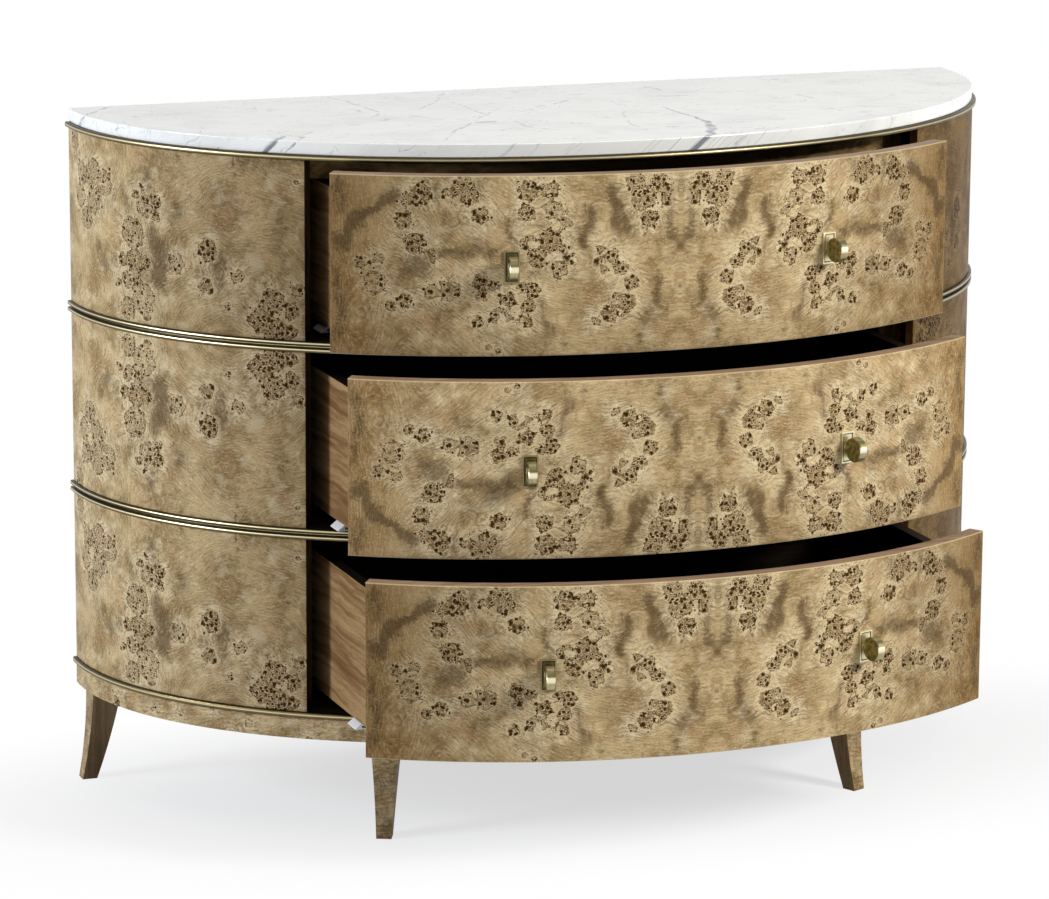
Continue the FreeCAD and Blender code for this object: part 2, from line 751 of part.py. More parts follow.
def write_parts():
    """Check every object and every piece, then write one file for each piece."""
    doc.recompute()
    failed = [obj.Name for obj in doc.Objects if {"Invalid", "Error"} & set(obj.State)]
    failed += [obj.Label for obj in nodes if obj.Shape.isNull() or not obj.Shape.isValid()]
    if failed:
        raise RuntimeError("failed: " + ", ".join(failed))
    os.makedirs("parts", exist_ok=True)
    for obj in nodes:
        obj.Shape.exportStep("parts/%s.step" % obj.Label)
    whole = Part.makeCompound([obj.Shape for obj in nodes]).optimalBoundingBox(False, False)
    print("%d pieces, %d solids" % (len(nodes), sum(len(obj.Shape.Solids) for obj in nodes)))
    print("from %s to %s" % (whole.getPoint(0), whole.getPoint(6)))


build_top()
build_panels()
build_boards(build_frame())
build_beads()
build_base()
build_drawers()
write_parts()
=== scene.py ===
import logging
import math
from dataclasses import dataclass
from enum import Enum
from functools import reduce
from typing import Dict, List, NamedTuple, Optional, Sequence, Tuple, Union

import bpy
import numpy as np
from mathutils import Matrix, Vector


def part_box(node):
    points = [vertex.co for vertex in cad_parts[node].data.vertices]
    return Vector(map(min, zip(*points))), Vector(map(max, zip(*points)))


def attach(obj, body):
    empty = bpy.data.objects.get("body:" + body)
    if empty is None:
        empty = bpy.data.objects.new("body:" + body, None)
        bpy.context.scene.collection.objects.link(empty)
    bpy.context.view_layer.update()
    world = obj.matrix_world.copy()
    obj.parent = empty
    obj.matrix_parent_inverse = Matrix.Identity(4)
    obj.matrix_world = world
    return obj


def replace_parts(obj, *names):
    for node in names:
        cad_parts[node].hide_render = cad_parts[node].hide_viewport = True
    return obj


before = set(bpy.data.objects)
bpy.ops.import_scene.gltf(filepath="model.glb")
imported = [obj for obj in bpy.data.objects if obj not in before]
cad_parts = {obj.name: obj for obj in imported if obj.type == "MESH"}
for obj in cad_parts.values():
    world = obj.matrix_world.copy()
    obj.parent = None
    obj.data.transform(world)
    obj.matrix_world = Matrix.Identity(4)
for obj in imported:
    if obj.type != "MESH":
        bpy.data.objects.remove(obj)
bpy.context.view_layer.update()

LOG = logging.getLogger("demilune_chest")
MM = 1000.0

Colour = Tuple[float, float, float, float]
Array = np.ndarray
Material = bpy.types.Material
Node = bpy.types.Node
Socket = bpy.types.NodeSocket
Feed = Union[Socket, float, Sequence[float]]
Pair = Tuple[float, float]
Lines = Sequence[Pair]
Triple = Tuple[float, float, float]
Row = Tuple[float, ...]
Surface = Tuple[Socket, Socket, Socket]
Sockets = Sequence[Tuple[str, str]]
SURFACE: Sockets = (("Color", "Color"), ("Roughness", "Float"), ("Height", "Float"))


def tint(red: float, green: float, blue: float) -> Colour:
    """Turn a display colour into the linear colour that a shader takes.

    Args:
        red: Red from 0 to 255.
        green: Green from 0 to 255.
        blue: Blue from 0 to 255.

    Returns:
        The linear colour with an alpha of 1.
    """
    def linear(level: float) -> float:
        """Undo the display curve for one channel."""
        share = level / 255.0
        return share / 12.92 if share <= 0.04045 else ((share + 0.055) / 1.055) ** 2.4

    return linear(red), linear(green), linear(blue), 1.0


class Tier(Enum):
    """The three drawers from the top down."""

    UPPER = "upper"
    MIDDLE = "middle"
    LOWER = "lower"


class Side(Enum):
    """Left or right as seen from the front, with the sign of x."""

    LEFT = -1
    RIGHT = 1

    @property
    def word(self) -> str:
        """The side's name in the frame's node names."""
        return self.name.lower()


class Axis(Enum):
    """The direction in which a board's grain runs."""

    ALONG_X = (0, 1, 2)
    ALONG_Y = (1, 0, 2)
    ALONG_Z = (2, 1, 0)


class Graph:
    """Places and links shader nodes in one node tree."""

    def __init__(self, tree: bpy.types.NodeTree) -> None:
        """Keep the tree that the nodes go into."""
        self.tree = tree

    def add(self, kind: str, feeds: Optional[Dict[Union[str, int], Feed]] = None,
            **settings: object) -> Node:
        """Place one node.

        Args:
            kind: The node's type name.
            feeds: Input sockets by name or index, each with a socket to link or a plain value.
            settings: Properties of the node itself.

        Returns:
            The new node.
        """
        made = self.tree.nodes.new(kind)
        for name, value in settings.items():
            setattr(made, name, value)
        for key, feed in (feeds or {}).items():
            self.feed(made.inputs[key], feed)
        return made

    def feed(self, target: Socket, feed: Feed) -> None:
        """Link a socket to an input, or set the input's own value.

        Args:
            target: The input.
            feed: The socket or the value.
        """
        if isinstance(feed, Socket):
            self.tree.links.new(feed, target)
        else:
            target.default_value = feed

    def sum(self, operation: str, *feeds: Feed, clamp: bool = False) -> Socket:
        """One step of arithmetic on single values."""
        made = self.add("ShaderNodeMath", dict(enumerate(feeds)), operation=operation, use_clamp=clamp)
        return made.outputs[0]

    def times(self, *feeds: Feed) -> Socket:
        """The product of values."""
        return reduce(lambda made, feed: self.sum("MULTIPLY", made, feed), feeds)

    def line(self, value: Feed, slope: Feed, start: Feed) -> Socket:
        """A value times a slope, plus a start."""
        return self.sum("MULTIPLY_ADD", value, slope, start)

    def less(self, first: Feed, second: Feed) -> Socket:
        """One value less another."""
        return self.sum("SUBTRACT", first, second)

    def over(self, first: Feed, second: Feed) -> Socket:
        """One value over another."""
        return self.sum("DIVIDE", first, second)

    def size(self, value: Feed) -> Socket:
        """A value without its sign."""
        return self.sum("ABSOLUTE", value)

    def lack(self, value: Feed) -> Socket:
        """What a value lacks to 1."""
        return self.less(1.0, value)

    def arrow(self, operation: str, *feeds: Feed) -> Socket:
        """One step of arithmetic on vectors; lengths and products come out as values."""
        made = self.add("ShaderNodeVectorMath", dict(enumerate(feeds)), operation=operation)
        return made.outputs["Value" if operation in ("LENGTH", "DISTANCE", "DOT_PRODUCT") else "Vector"]

    def scaled(self, vector: Feed, size: Feed) -> Socket:
        """A vector multiplied by one number."""
        made = self.add("ShaderNodeVectorMath", {0: vector, "Scale": size}, operation="SCALE")
        return made.outputs["Vector"]

    def split(self, vector: Feed) -> Tuple[Socket, Socket, Socket]:
        """The three parts of a vector."""
        made = self.add("ShaderNodeSeparateXYZ", {0: vector})
        return made.outputs[0], made.outputs[1], made.outputs[2]

    def join(self, x: Feed, y: Feed, z: Feed = 0.0) -> Socket:
        """A vector from three values."""
        return self.add("ShaderNodeCombineXYZ", {0: x, 1: y, 2: z}).outputs[0]

    def mix(self, share: Feed, first: Feed, second: Feed, mode: str = "MIX") -> Socket:
        """Lay one colour over another.

        Args:
            share: How strongly the second is laid on.
            first: The colour below.
            second: The colour on top.
            mode: The way of blending.

        Returns:
            The colour.
        """
        feeds = {0: share, 6: first, 7: second}
        made = self.add("ShaderNodeMix", feeds, data_type="RGBA", blend_type=mode, clamp_factor=True)
        return made.outputs[2]

    def smooth(self, value: Feed, low: Feed, high: Feed) -> Socket:
        """A soft step that rises from 0 at low to 1 at high."""
        made = self.add("ShaderNodeMapRange", {0: value, 1: low, 2: high}, interpolation_type="SMOOTHSTEP")
        return made.outputs[0]

    def band(self, value: Feed, rise: Pair, fall: Pair) -> Socket:
        """A soft band that is 1 between the end of its rise and the start of its fall."""
        return self.times(self.smooth(value, *rise), self.lack(self.smooth(value, *fall)))

    def noise(self, place: Feed, scale: float, detail: float = 2.0, rough: float = 0.5,
              warp: float = 0.0) -> Socket:
        """Cloudy value from 0 to 1 over a place."""
        feeds = {"Vector": place, "Scale": scale, "Detail": detail, "Roughness": rough, "Distortion": warp}
        return self.add("ShaderNodeTexNoise", feeds).outputs[0]

    def drift(self, place: Feed, scale: float, reach: float, detail: float = 2.0) -> Socket:
        """A place pushed about by cloudy noise, by up to half of reach each way."""
        cloud = self.add("ShaderNodeTexNoise", {"Vector": place, "Scale": scale, "Detail": detail}).outputs[1]
        return self.arrow("ADD", place, self.scaled(self.arrow("SUBTRACT", cloud, (0.5, 0.5, 0.5)), reach))

    def stray(self, value: Feed, place: Feed, scale: float, reach: float, detail: float = 2.0) -> Socket:
        """A value pushed about by cloudy noise, by up to half of reach each way."""
        return self.line(self.less(self.noise(place, scale, detail), 0.5), reach, value)

    def cells(self, place: Feed, scale: float) -> Tuple[Socket, Sequence[Socket]]:
        """Strew many points over a place.

        Args:
            place: The place.
            scale: How many points there are to a length of 1.

        Returns:
            The distance to the nearest point, and three chances from 0 to 1 for each point.
        """
        made = self.add("ShaderNodeTexVoronoi", {"Vector": place, "Scale": scale}, voronoi_dimensions="2D")
        chance = self.add("ShaderNodeSeparateColor", {0: made.outputs["Color"]}).outputs
        return made.outputs["Distance"], chance

    def place(self) -> Socket:
        """Place on the object in millimetres."""
        return self.scaled(self.add("ShaderNodeTexCoord").outputs["Object"], MM)

    def facing(self) -> Socket:
        """The way that the surface faces."""
        return self.add("ShaderNodeNewGeometry").outputs["Normal"]


class Group:
    """A shader node group with named inputs and outputs, built once."""

    def __init__(self, name: str, inputs: Sockets, outputs: Sockets) -> None:
        """Make the empty group.

        Args:
            name: The group's name.
            inputs: Each input's name and kind, Float, Vector or Color.
            outputs: Each output's name and kind.
        """
        self.tree = bpy.data.node_groups.new(name, "ShaderNodeTree")
        for way, sockets in (("INPUT", inputs), ("OUTPUT", outputs)):
            for label, kind in sockets:
                self.tree.interface.new_socket(name=label, in_out=way, socket_type="NodeSocket" + kind)
        self.graph = Graph(self.tree)
        self.inputs = self.graph.add("NodeGroupInput").outputs
        self.end = self.graph.add("NodeGroupOutput")

    def give(self, **feeds: Socket) -> None:
        """Link the group's outputs by name."""
        for name, feed in feeds.items():
            self.graph.feed(self.end.inputs[name], feed)

    def place(self, graph: Graph, feeds: Dict[str, Feed]) -> Tuple[Socket, ...]:
        """Put the group into a material with its own values, and give what it puts out."""
        return tuple(graph.add("ShaderNodeGroup", feeds, node_tree=self.tree).outputs)


class Wash(NamedTuple):
    """A colour and how strongly it is laid on."""

    colour: Colour
    share: float


Layers = Tuple[Tuple[Union[Wash, Socket], ...], ...]


@dataclass(frozen=True)
class BurlTones:
    """Colours of the burl's figure."""

    ground_dark: Colour = tint(144, 119, 78)
    ground_light: Colour = tint(192, 167, 122)
    cream: Wash = Wash(tint(208, 188, 148), 0.52)
    rosy: Wash = Wash(tint(160, 122, 84), 0.34)
    # Pale patches, partly the wood's own tone and partly painted sheen.
    pale_and_sheen: Wash = Wash(tint(216, 199, 164), 0.45)
    golden: Wash = Wash(tint(156, 121, 71), 0.7)
    smoke: Wash = Wash(tint(90, 70, 45), 0.78)
    knot: Wash = Wash(tint(148, 114, 64), 0.75)
    blotch: Wash = Wash(tint(92, 67, 33), 0.8)
    fibre_dark: Wash = Wash(tint(84, 62, 33), 0.4)
    fibre_light: Wash = Wash(tint(228, 211, 174), 0.38)
    line: Wash = Wash(tint(78, 57, 30), 0.42)
    pore: Wash = Wash(tint(80, 59, 33), 0.5)
    speck: Wash = Wash(tint(228, 211, 174), 0.52)
    wisp: Wash = Wash(tint(228, 208, 166), 0.2)
    halo: Wash = Wash(tint(226, 205, 162), 0.25)
    outline: Wash = Wash(tint(66, 44, 21), 0.72)
    trace: Wash = Wash(tint(84, 59, 30), 0.55)
    rim: Wash = Wash(tint(228, 208, 168), 0.78)
    eye: Wash = Wash(tint(104, 77, 38), 0.9)
    heart: Wash = Wash(tint(44, 29, 10), 0.95)
    # Painted shade: tint multiplied in where a sheet's painted shade darkens the figure.
    shade: Colour = tint(150, 138, 120)
    rub: Colour = tint(214, 192, 150)


class BurlFigure:
    """Builder of the burl's group: wavy fibres, smoky streaks, ragged knots and their eyes.

    Sizes are in millimetres. A layer is a wash and the masks that it is laid on by. Fibres have a width and
    a length. Eyes have their mean distance, the least radius and the most that is added to it.
    """

    FIBRE = (1.6, 14.0)
    LINE_PITCH = 5.4
    EYES = (6.2, 1.1, 2.7)
    SPECKS = (3.1, 0.5, 0.9)

    def __init__(self, tones: BurlTones = BurlTones()) -> None:
        """Make the group and the places that its patterns share.

        Args:
            tones: The figure's colours.
        """
        self.group = Group(
            "burl_figure",
            (
                ("Veneer", "Vector"), ("Knot", "Float"), ("Tone", "Float"), ("Smoke", "Float"),
                ("Stain", "Vector"),
            ),
            SURFACE,
        )
        self.tones = tones
        self.g = g = self.group.graph
        self.along, self.across, flow = g.split(self.group.inputs["Veneer"])
        self.flat = g.join(self.along, self.across)
        self.wavy = g.drift(self.flat, 1 / 30.0, 16.0)
        self.bent = g.drift(self.flat, 1 / 3.8, 4.6)
        self.curly = g.stray(flow, self.flat, 1 / 12.0, 9.0)
        coast = g.stray(self.group.inputs["Knot"], self.flat, 1 / 20.0, 42.0, 3.0)
        self.field = g.lack(g.smooth(coast, 2.0, 20.0))

    def build(self) -> Group:
        """Lay the figure's layers one over another.

        Returns:
            A group that takes a place on the sheet in millimetres and the figure's masks.
        """
        g, tones = self.g, self.tones
        # The third input holds the golden tone, the arris rub and the painted shade.
        golden, rub, shade = g.split(self.group.inputs["Stain"])
        smoky = self.smoke()
        fill, edges, eyes, dark = self.knots()
        fibres, stipple, lines = self.fibres(g.line(smoky, -0.65, 1.0))
        ground = g.smooth(g.noise(self.wavy, 1 / 44.0, 4.0), 0.36, 0.64)
        rosy = g.smooth(g.noise(self.wavy, 1 / 33.0), 0.5, 0.68)
        # Pale patches, partly the wood's own tone and partly painted sheen.
        pale_and_sheen = g.smooth(g.noise(self.wavy, 1 / 26.0), 0.46, 0.3)
        patches = (
            (tones.cream, self.field), (tones.rosy, rosy), (tones.pale_and_sheen, pale_and_sheen),
            (tones.golden, golden), (tones.smoke, smoky),
        )
        base = g.mix(ground, tones.ground_dark, tones.ground_light)
        for wash, *masks in patches + fill + fibres + edges + eyes:
            base = g.mix(g.times(*masks, wash.share), base, wash.colour)
        # Painted shade: darken the figure by the sheet's painted shade.
        base = g.mix(shade, base, tones.shade, "MULTIPLY")
        base = g.mix(rub, base, tones.rub)
        height = g.line(dark, -0.7, g.times(stipple, 0.35))
        self.group.give(
            Color=base, Roughness=g.line(stipple, 0.14, 0.36), Height=g.line(lines, -0.15, height),
        )
        return self.group

    def smoke(self) -> Socket:
        """The smoky streaks, with ragged edges and tall wisps of their own.

        Returns:
            The mask of the smoke.
        """
        g = self.g
        tall = g.noise(g.arrow("MULTIPLY", self.wavy, (1 / 22.0, 1 / 60.0, 1.0)), 1.0, 3.0, 0.55)
        torn = g.arrow("MULTIPLY", self.wavy, (1 / 12.0, 1 / 24.0, 1.0))
        smoke = g.stray(g.times(self.group.inputs["Smoke"], 1.2), torn, 1.0, 1.2, 3.0)
        return g.smooth(g.line(g.smooth(tall, 0.46, 0.72), 0.35, smoke), 0.05, 0.95)

    def fibres(self, clear: Socket) -> Tuple[Layers, Socket, Socket]:
        """The fibres, the fine stipple and the lines of the grain.

        Args:
            clear: Mask of the places where no smoke dulls the pale fibres.

        Returns:
            Their layers, the stipple and the mask of the lines.
        """
        g, tones, flat = self.g, self.tones, self.flat
        crisp = g.line(self.field, 0.55, 0.64)
        width, length = self.FIBRE
        strand = g.join(g.over(self.curly, width), g.over(self.along, length), g.over(self.across, length))
        fibre = g.noise(strand, 1.0, 2.0, 0.6)
        strayed = g.times(g.noise(flat, 1 / 18.0, 3.0), 2.4)
        steps = g.sum("FRACT", g.line(self.curly, 1 / self.LINE_PITCH, strayed))
        ridge = g.size(g.line(steps, 2.0, -1.0))
        lines = g.times(g.smooth(ridge, 0.62, 0.95), g.smooth(g.noise(flat, 1 / 12.0, 1.0), 0.44, 0.58))
        wisps = g.times(g.smooth(ridge, 0.34, 0.06), g.smooth(g.noise(flat, 1 / 16.0), 0.45, 0.6))
        stipple = g.noise(g.arrow("MULTIPLY", self.bent, (0.8, 1.4, 1.0)), 0.34, 3.0, 0.7)
        layers = (
            (tones.fibre_dark, g.smooth(fibre, 0.52, 0.66), crisp),
            (tones.fibre_light, g.smooth(fibre, 0.48, 0.34), clear, crisp),
            (tones.line, lines, crisp),
            (tones.pore, g.smooth(stipple, 0.54, 0.68), crisp),
            (tones.speck, g.smooth(stipple, 0.46, 0.32), clear, crisp),
            (tones.wisp, wisps, clear),
        )
        return layers, stipple, lines

    def knots(self) -> Tuple[Layers, Layers, Layers, Socket]:
        """The knots: brown fill, torn outlines and the eyes in them.

        Returns:
            The layers of the fill, of the edges and of the eyes, and the mask of all that is dark.
        """
        g, tones, flat = self.g, self.tones, self.flat
        knot = g.stray(self.group.inputs["Knot"], flat, 1 / 8.0, 16.0, 3.0)
        inside = g.lack(g.smooth(knot, -0.8, 0.6))
        near = g.lack(g.smooth(knot, 0.0, 9.0))
        torn = g.smooth(g.noise(flat, 1 / 5.0, 1.0), 0.38, 0.52)
        outline = g.times(g.band(knot, (-2.0, -1.1), (-0.3, 0.6)), torn)
        halo = g.band(knot, (0.2, 0.9), (2.0, 4.5))
        blotch = g.smooth(g.noise(self.bent, 1 / 5.0), 0.42, 0.58)
        crowd = g.times(inside, self.group.inputs["Tone"])
        flock = g.times(crowd, g.smooth(g.noise(flat, 1 / 9.0), 0.36, 0.52))
        core, heart, rim, trace = self.eyes(*self.EYES, g.line(flock, 1.1, g.times(near, 0.05)))
        speck, _, fringe, _ = self.eyes(*self.SPECKS, g.line(inside, 0.22, g.times(near, 0.12)))
        dark = g.sum("MAXIMUM", heart, g.times(speck, 0.85))
        fill = ((tones.knot, crowd), (tones.blotch, blotch, crowd))
        edges = ((tones.halo, halo), (tones.outline, outline), (tones.trace, trace))
        pale = g.sum("MAXIMUM", rim, g.times(fringe, 0.6))
        return fill, edges, ((tones.rim, pale), (tones.eye, core), (tones.heart, dark)), dark

    def eyes(self, pitch: float, least: float, added: float, crowd: Socket) -> Tuple[Socket, ...]:
        """Dark eyes with pale rims, strewn where the crowd mask is high.

        Args:
            pitch: Mean distance between eyes.
            least: The least radius.
            added: The most that is added to it.
            crowd: Share of the strewn points that become eyes.

        Returns:
            The masks of the brown eyes, their dark hearts, their pale rims and the dark lines round those.
        """
        g = self.g
        distance, chance = g.cells(self.bent, 1.0 / pitch)
        present = g.sum("LESS_THAN", chance[1], crowd)
        radius = g.line(chance[0], added, least)
        past = g.less(g.times(distance, pitch), radius)
        core = g.lack(g.smooth(past, -0.45, 0.15))
        rim = g.band(past, (0.05, 0.35), (0.4, 1.0))
        trace = g.band(past, (0.75, 1.1), (1.3, 1.9))
        heart = g.lack(g.smooth(g.over(past, radius), -0.55, -0.2))
        return tuple(g.times(mask, present) for mask in (core, heart, rim, trace))


class Effects:
    """The effects that several finishes share."""

    def __init__(self) -> None:
        """Build each group once."""
        self.burl = BurlFigure().build()
        self.grain = self._grain()
        self.patina = self._patina()
        self.vein = self._vein()

    def _grain(self) -> Group:
        """Straight grain of a sawn board, with pores and broad streaks.

        Returns:
            A group that takes a place in millimetres whose x runs along the grain.
        """
        group = Group(
            "board_grain",
            (("Place", "Vector"), ("Light", "Color"), ("Dark", "Color"), ("Streak", "Color")),
            SURFACE,
        )
        g = group.graph
        place = g.drift(group.inputs["Place"], 1 / 90.0, 16.0)
        figure = g.noise(g.arrow("MULTIPLY", place, (1 / 210.0, 1 / 9.0, 1 / 9.0)), 1.0, 4.0, 0.6, 0.4)
        pores = g.noise(g.arrow("MULTIPLY", place, (1 / 13.0, 1.3, 1.3)), 1.0, 2.0, 0.6)
        broad = g.noise(g.arrow("MULTIPLY", place, (1 / 320.0, 1 / 24.0, 1 / 24.0)), 1.0, 3.0)
        base = g.mix(g.smooth(figure, 0.32, 0.68), group.inputs["Light"], group.inputs["Dark"])
        base = g.mix(g.times(g.smooth(broad, 0.5, 0.72), 0.7), base, group.inputs["Streak"])
        base = g.mix(g.times(g.smooth(pores, 0.56, 0.7), 0.45), base, group.inputs["Dark"], "MULTIPLY")
        height = g.line(pores, -0.6, g.times(figure, 0.4))
        group.give(Color=base, Roughness=g.line(pores, 0.2, 0.4), Height=height)
        return group

    def _patina(self) -> Group:
        """Aged brass: duller patches, fine rub marks and a little unevenness.

        Returns:
            A group that takes a place in millimetres and the bright and dull colours.
        """
        group = Group(
            "brass_patina",
            (("Place", "Vector"), ("Bright", "Color"), ("Dull", "Color"), ("Age", "Float")),
            SURFACE,
        )
        g = group.graph
        place = group.inputs["Place"]
        patches = g.noise(place, 1 / 7.0, 4.0, 0.6)
        rubs = g.noise(g.arrow("MULTIPLY", place, (0.25, 0.25, 3.0)), 1.0, 2.0)
        dull = g.times(g.smooth(patches, 0.4, 0.7), group.inputs["Age"])
        base = g.mix(dull, group.inputs["Bright"], group.inputs["Dull"])
        base = g.mix(g.times(g.smooth(rubs, 0.5, 0.7), 0.25), base, group.inputs["Dull"])
        rough = g.line(rubs, 0.1, g.line(dull, 0.14, 0.3))
        group.give(Color=base, Roughness=rough, Height=g.line(rubs, 0.5, patches))
        return group

    def _vein(self) -> Group:
        """One vein of a stone, a soft line between two places.

        Returns:
            A group that takes a place and the vein's ends and half-width in millimetres, and gives its mask.
        """
        group = Group(
            "stone_vein",
            (("Place", "Vector"), ("From", "Vector"), ("To", "Vector"), ("Width", "Float")),
            (("Mask", "Float"),),
        )
        g = group.graph
        place, start, end, width = (group.inputs[label] for label in ("Place", "From", "To", "Width"))
        run = g.arrow("SUBTRACT", end, start)
        gone = g.arrow("SUBTRACT", place, start)
        lengths = g.arrow("DOT_PRODUCT", gone, run), g.arrow("DOT_PRODUCT", run, run)
        away = g.arrow("DISTANCE", gone, g.scaled(run, g.sum("DIVIDE", *lengths, clamp=True)))
        group.give(Mask=g.lack(g.smooth(away, g.times(width, 0.35), width)))
        return group


@dataclass(frozen=True)
class Oval:
    """The half oval that the case and the drawer fronts follow, in metres."""

    half_width: float = 0.605
    bow: float = 0.453
    centre: float = 0.331496
    back: float = 0.348996
    steps: int = 4001

    def depth(self, x: Array, inset: float) -> Array:
        """Depth of the curve with an inset at distances x from the middle."""
        share = np.clip(np.abs(x) / (self.half_width - inset), 0.0, 1.0)
        return self.centre - (self.bow - inset) * np.sqrt(1.0 - share ** 2)

    def run(self, x: Array) -> Array:
        """Measure along the outer curve.

        Args:
            x: Distances from the middle, across the case.

        Returns:
            The length along the curve from the middle to each x.
        """
        angle = np.linspace(0.0, math.pi / 2, self.steps)
        px, py = self.half_width * np.sin(angle), self.bow * np.cos(angle)
        length = np.concatenate(([0.0], np.cumsum(np.hypot(np.diff(px), np.diff(py)))))
        return np.sign(x) * np.interp(np.abs(x), px, length)

    def at(self, run: Array) -> Array:
        """The x at each length along the outer curve."""
        grid = np.linspace(0.0, self.half_width, self.steps)
        return np.sign(run) * np.interp(np.abs(run), self.run(grid), grid)


def blank(owner: Union[Material, bpy.types.World]) -> Graph:
    """Clear the nodes of a material or a world.

    Args:
        owner: The material or the world.

    Returns:
        The graph to fill.
    """
    owner.use_nodes = True
    owner.node_tree.nodes.clear()
    return Graph(owner.node_tree)


def set_out(name: str, data: bpy.types.ID) -> bpy.types.Object:
    """Make an object and link it into the scene.

    Args:
        name: The object's name.
        data: The mesh, lamp or camera that it shows.

    Returns:
        The object.
    """
    made = bpy.data.objects.new(name, data)
    bpy.context.scene.collection.objects.link(made)
    return made


class Finish:
    """Base of the finishes: a material with a Principled shader fed by nodes.

    The relief is the depth of its bumps in metres and their strength. The gloss is how strongly a surface
    that isn't metal mirrors its surroundings.
    """

    relief: Pair = (0.0001, 0.02)
    gloss: float = 0.5
    metallic: float = 0.0

    def material(self, name: str, *choices: object) -> Material:
        """Make the material and feed its shader.

        Args:
            name: The material's name.
            choices: What the finish's paint asks for.

        Returns:
            The material.
        """
        made = bpy.data.materials.new(name)
        g = blank(made)
        end = g.add("ShaderNodeOutputMaterial")
        plain = {"Specular IOR Level": self.gloss, "Metallic": self.metallic}
        shader = g.add("ShaderNodeBsdfPrincipled", plain)
        g.feed(end.inputs["Surface"], shader.outputs[0])
        colour, rough, height = self.paint(g, *choices)
        depth, strength = self.relief
        bump = g.add("ShaderNodeBump", {"Height": height, "Distance": depth, "Strength": strength})
        for label, feed in (("Base Color", colour), ("Roughness", rough), ("Normal", bump.outputs[0])):
            g.feed(shader.inputs[label], feed)
        return made

    def paint(self, g: Graph, *choices: object) -> Surface:
        """Lay the finish's own nodes, which give its colour, roughness and height."""
        raise NotImplementedError


@dataclass(frozen=True)
class BurlVeneer(Finish):
    """Satin-lacquered burl veneer on a sheet that carries its own figure."""

    effects: Effects
    relief: Pair = (0.0004, 0.25)
    gloss: float = 0.04

    def paint(self, g: Graph) -> Surface:
        """Place the figure that the sheet carries.

        Args:
            g: The material's graph.

        Returns:
            The colour, the roughness and the height.
        """
        # The third attribute holds the golden tone, the arris rub and the painted shade.
        veneer, figure, stain = (
            g.add("ShaderNodeAttribute", None, attribute_name=label).outputs["Vector"]
            for label in (Sheet.VENEER, Sheet.FIGURE, Sheet.STAIN_AND_SHADE)
        )
        knot, tone, smoke = g.split(figure)
        feeds = {"Veneer": veneer, "Knot": knot, "Tone": tone, "Smoke": smoke, "Stain": stain}
        return self.effects.burl.place(g, feeds)


@dataclass(frozen=True)
class LooseVeneer(BurlVeneer):
    """Burl veneer round the oval whose knots fall where they will.

    The pitch is the mean distance between knots in millimetres, and their least size and its spread are
    shares of it. The girth makes millimetres of an angle, and the climb is how steeply the grain rises.
    """

    oval: Oval = Oval()
    pitch: float = 44.0
    spread: float = 0.12
    least: float = 0.05
    smoke: float = 0.12
    girth: float = 530.0
    climb: float = 0.12

    def paint(self, g: Graph) -> Surface:
        """Place the figure, with knots strewn over it.

        Args:
            g: The material's graph.

        Returns:
            The colour, the roughness and the height.
        """
        x, y, z = g.split(g.place())
        depth = g.less(self.oval.centre * MM, y)
        turn = g.sum("ARCTAN2", g.over(x, self.oval.half_width), g.over(depth, self.oval.bow))
        along = g.times(g.size(turn), self.girth)
        distance, chance = g.cells(g.join(along, z), 1.0 / self.pitch)
        past = g.less(distance, g.line(chance[0], self.spread, self.least))
        return self.effects.burl.place(g, {
            "Veneer": g.join(along, z, g.line(along, self.climb, z)),
            "Knot": g.times(past, self.pitch), "Tone": chance[1], "Smoke": self.smoke,
        })


@dataclass(frozen=True)
class LegWood(LooseVeneer):
    """Leg with a veneered outer face and plain dark faces elsewhere."""

    relief: Pair = (0.0004, 0.2)
    pitch: float = 74.0
    spread: float = 0.03
    smoke: float = 0.35
    light: Colour = tint(154, 130, 97)
    shade: Colour = tint(124, 101, 73)
    streak: Colour = tint(102, 82, 59)

    def paint(self, g: Graph) -> Surface:
        """Lay veneer where the leg faces outward and plain wood elsewhere.

        Args:
            g: The material's graph.

        Returns:
            The colour, the roughness and the height.
        """
        veneer, rough, _ = super().paint(g)
        x, y, z = g.split(g.place())
        wood, _, height = self.effects.grain.place(g, {
            "Place": g.join(z, x, y), "Light": self.light, "Dark": self.shade, "Streak": self.streak,
        })
        outward = g.arrow("NORMALIZE", g.join(
            g.over(x, self.oval.half_width ** 2 * MM),
            g.over(g.less(y, self.oval.centre * MM), self.oval.bow ** 2 * MM),
        ))
        outer = g.smooth(g.arrow("DOT_PRODUCT", g.facing(), outward), 0.6, 0.75)
        return g.mix(outer, wood, veneer), rough, height


@dataclass(frozen=True)
class BoardWood(Finish):
    """Sawn and finished board."""

    effects: Effects
    light: Colour
    dark: Colour
    streak: Colour
    relief: Pair = (0.0003, 0.3)
    gloss: float = 0.1

    def paint(self, g: Graph, axis: Axis) -> Surface:
        """Place the grain along an axis of the object.

        Args:
            g: The material's graph.
            axis: The direction of the grain.

        Returns:
            The colour, the roughness and the height.
        """
        parts = g.split(g.place())
        place = g.join(*(parts[index] for index in axis.value))
        feeds = {"Place": place, "Light": self.light, "Dark": self.dark, "Streak": self.streak}
        return self.effects.grain.place(g, feeds)


@dataclass(frozen=True)
class DrawerSideWood(BoardWood):
    """Drawer side: tan on its outer face; on its edges and inside, dark-stained wood dark enough to stand in
    for the shade inside the drawer (painted shade).
    """

    stain: Optional[BoardWood] = None

    def paint(self, g: Graph, axis: Axis) -> Surface:
        """Lay the tan wood on the outer face over the dark wood.

        Args:
            g: The material's graph.
            axis: The direction of the grain.

        Returns:
            The colour, the roughness and the height.
        """
        outside, rough, height = super().paint(g, axis)
        inside = self.stain.paint(g, axis)[0]
        beside = g.sum("SIGN", g.split(g.place())[0])
        outer = g.smooth(g.times(g.split(g.facing())[0], beside), 0.5, 0.8)
        return g.mix(outer, inside, outside), rough, height


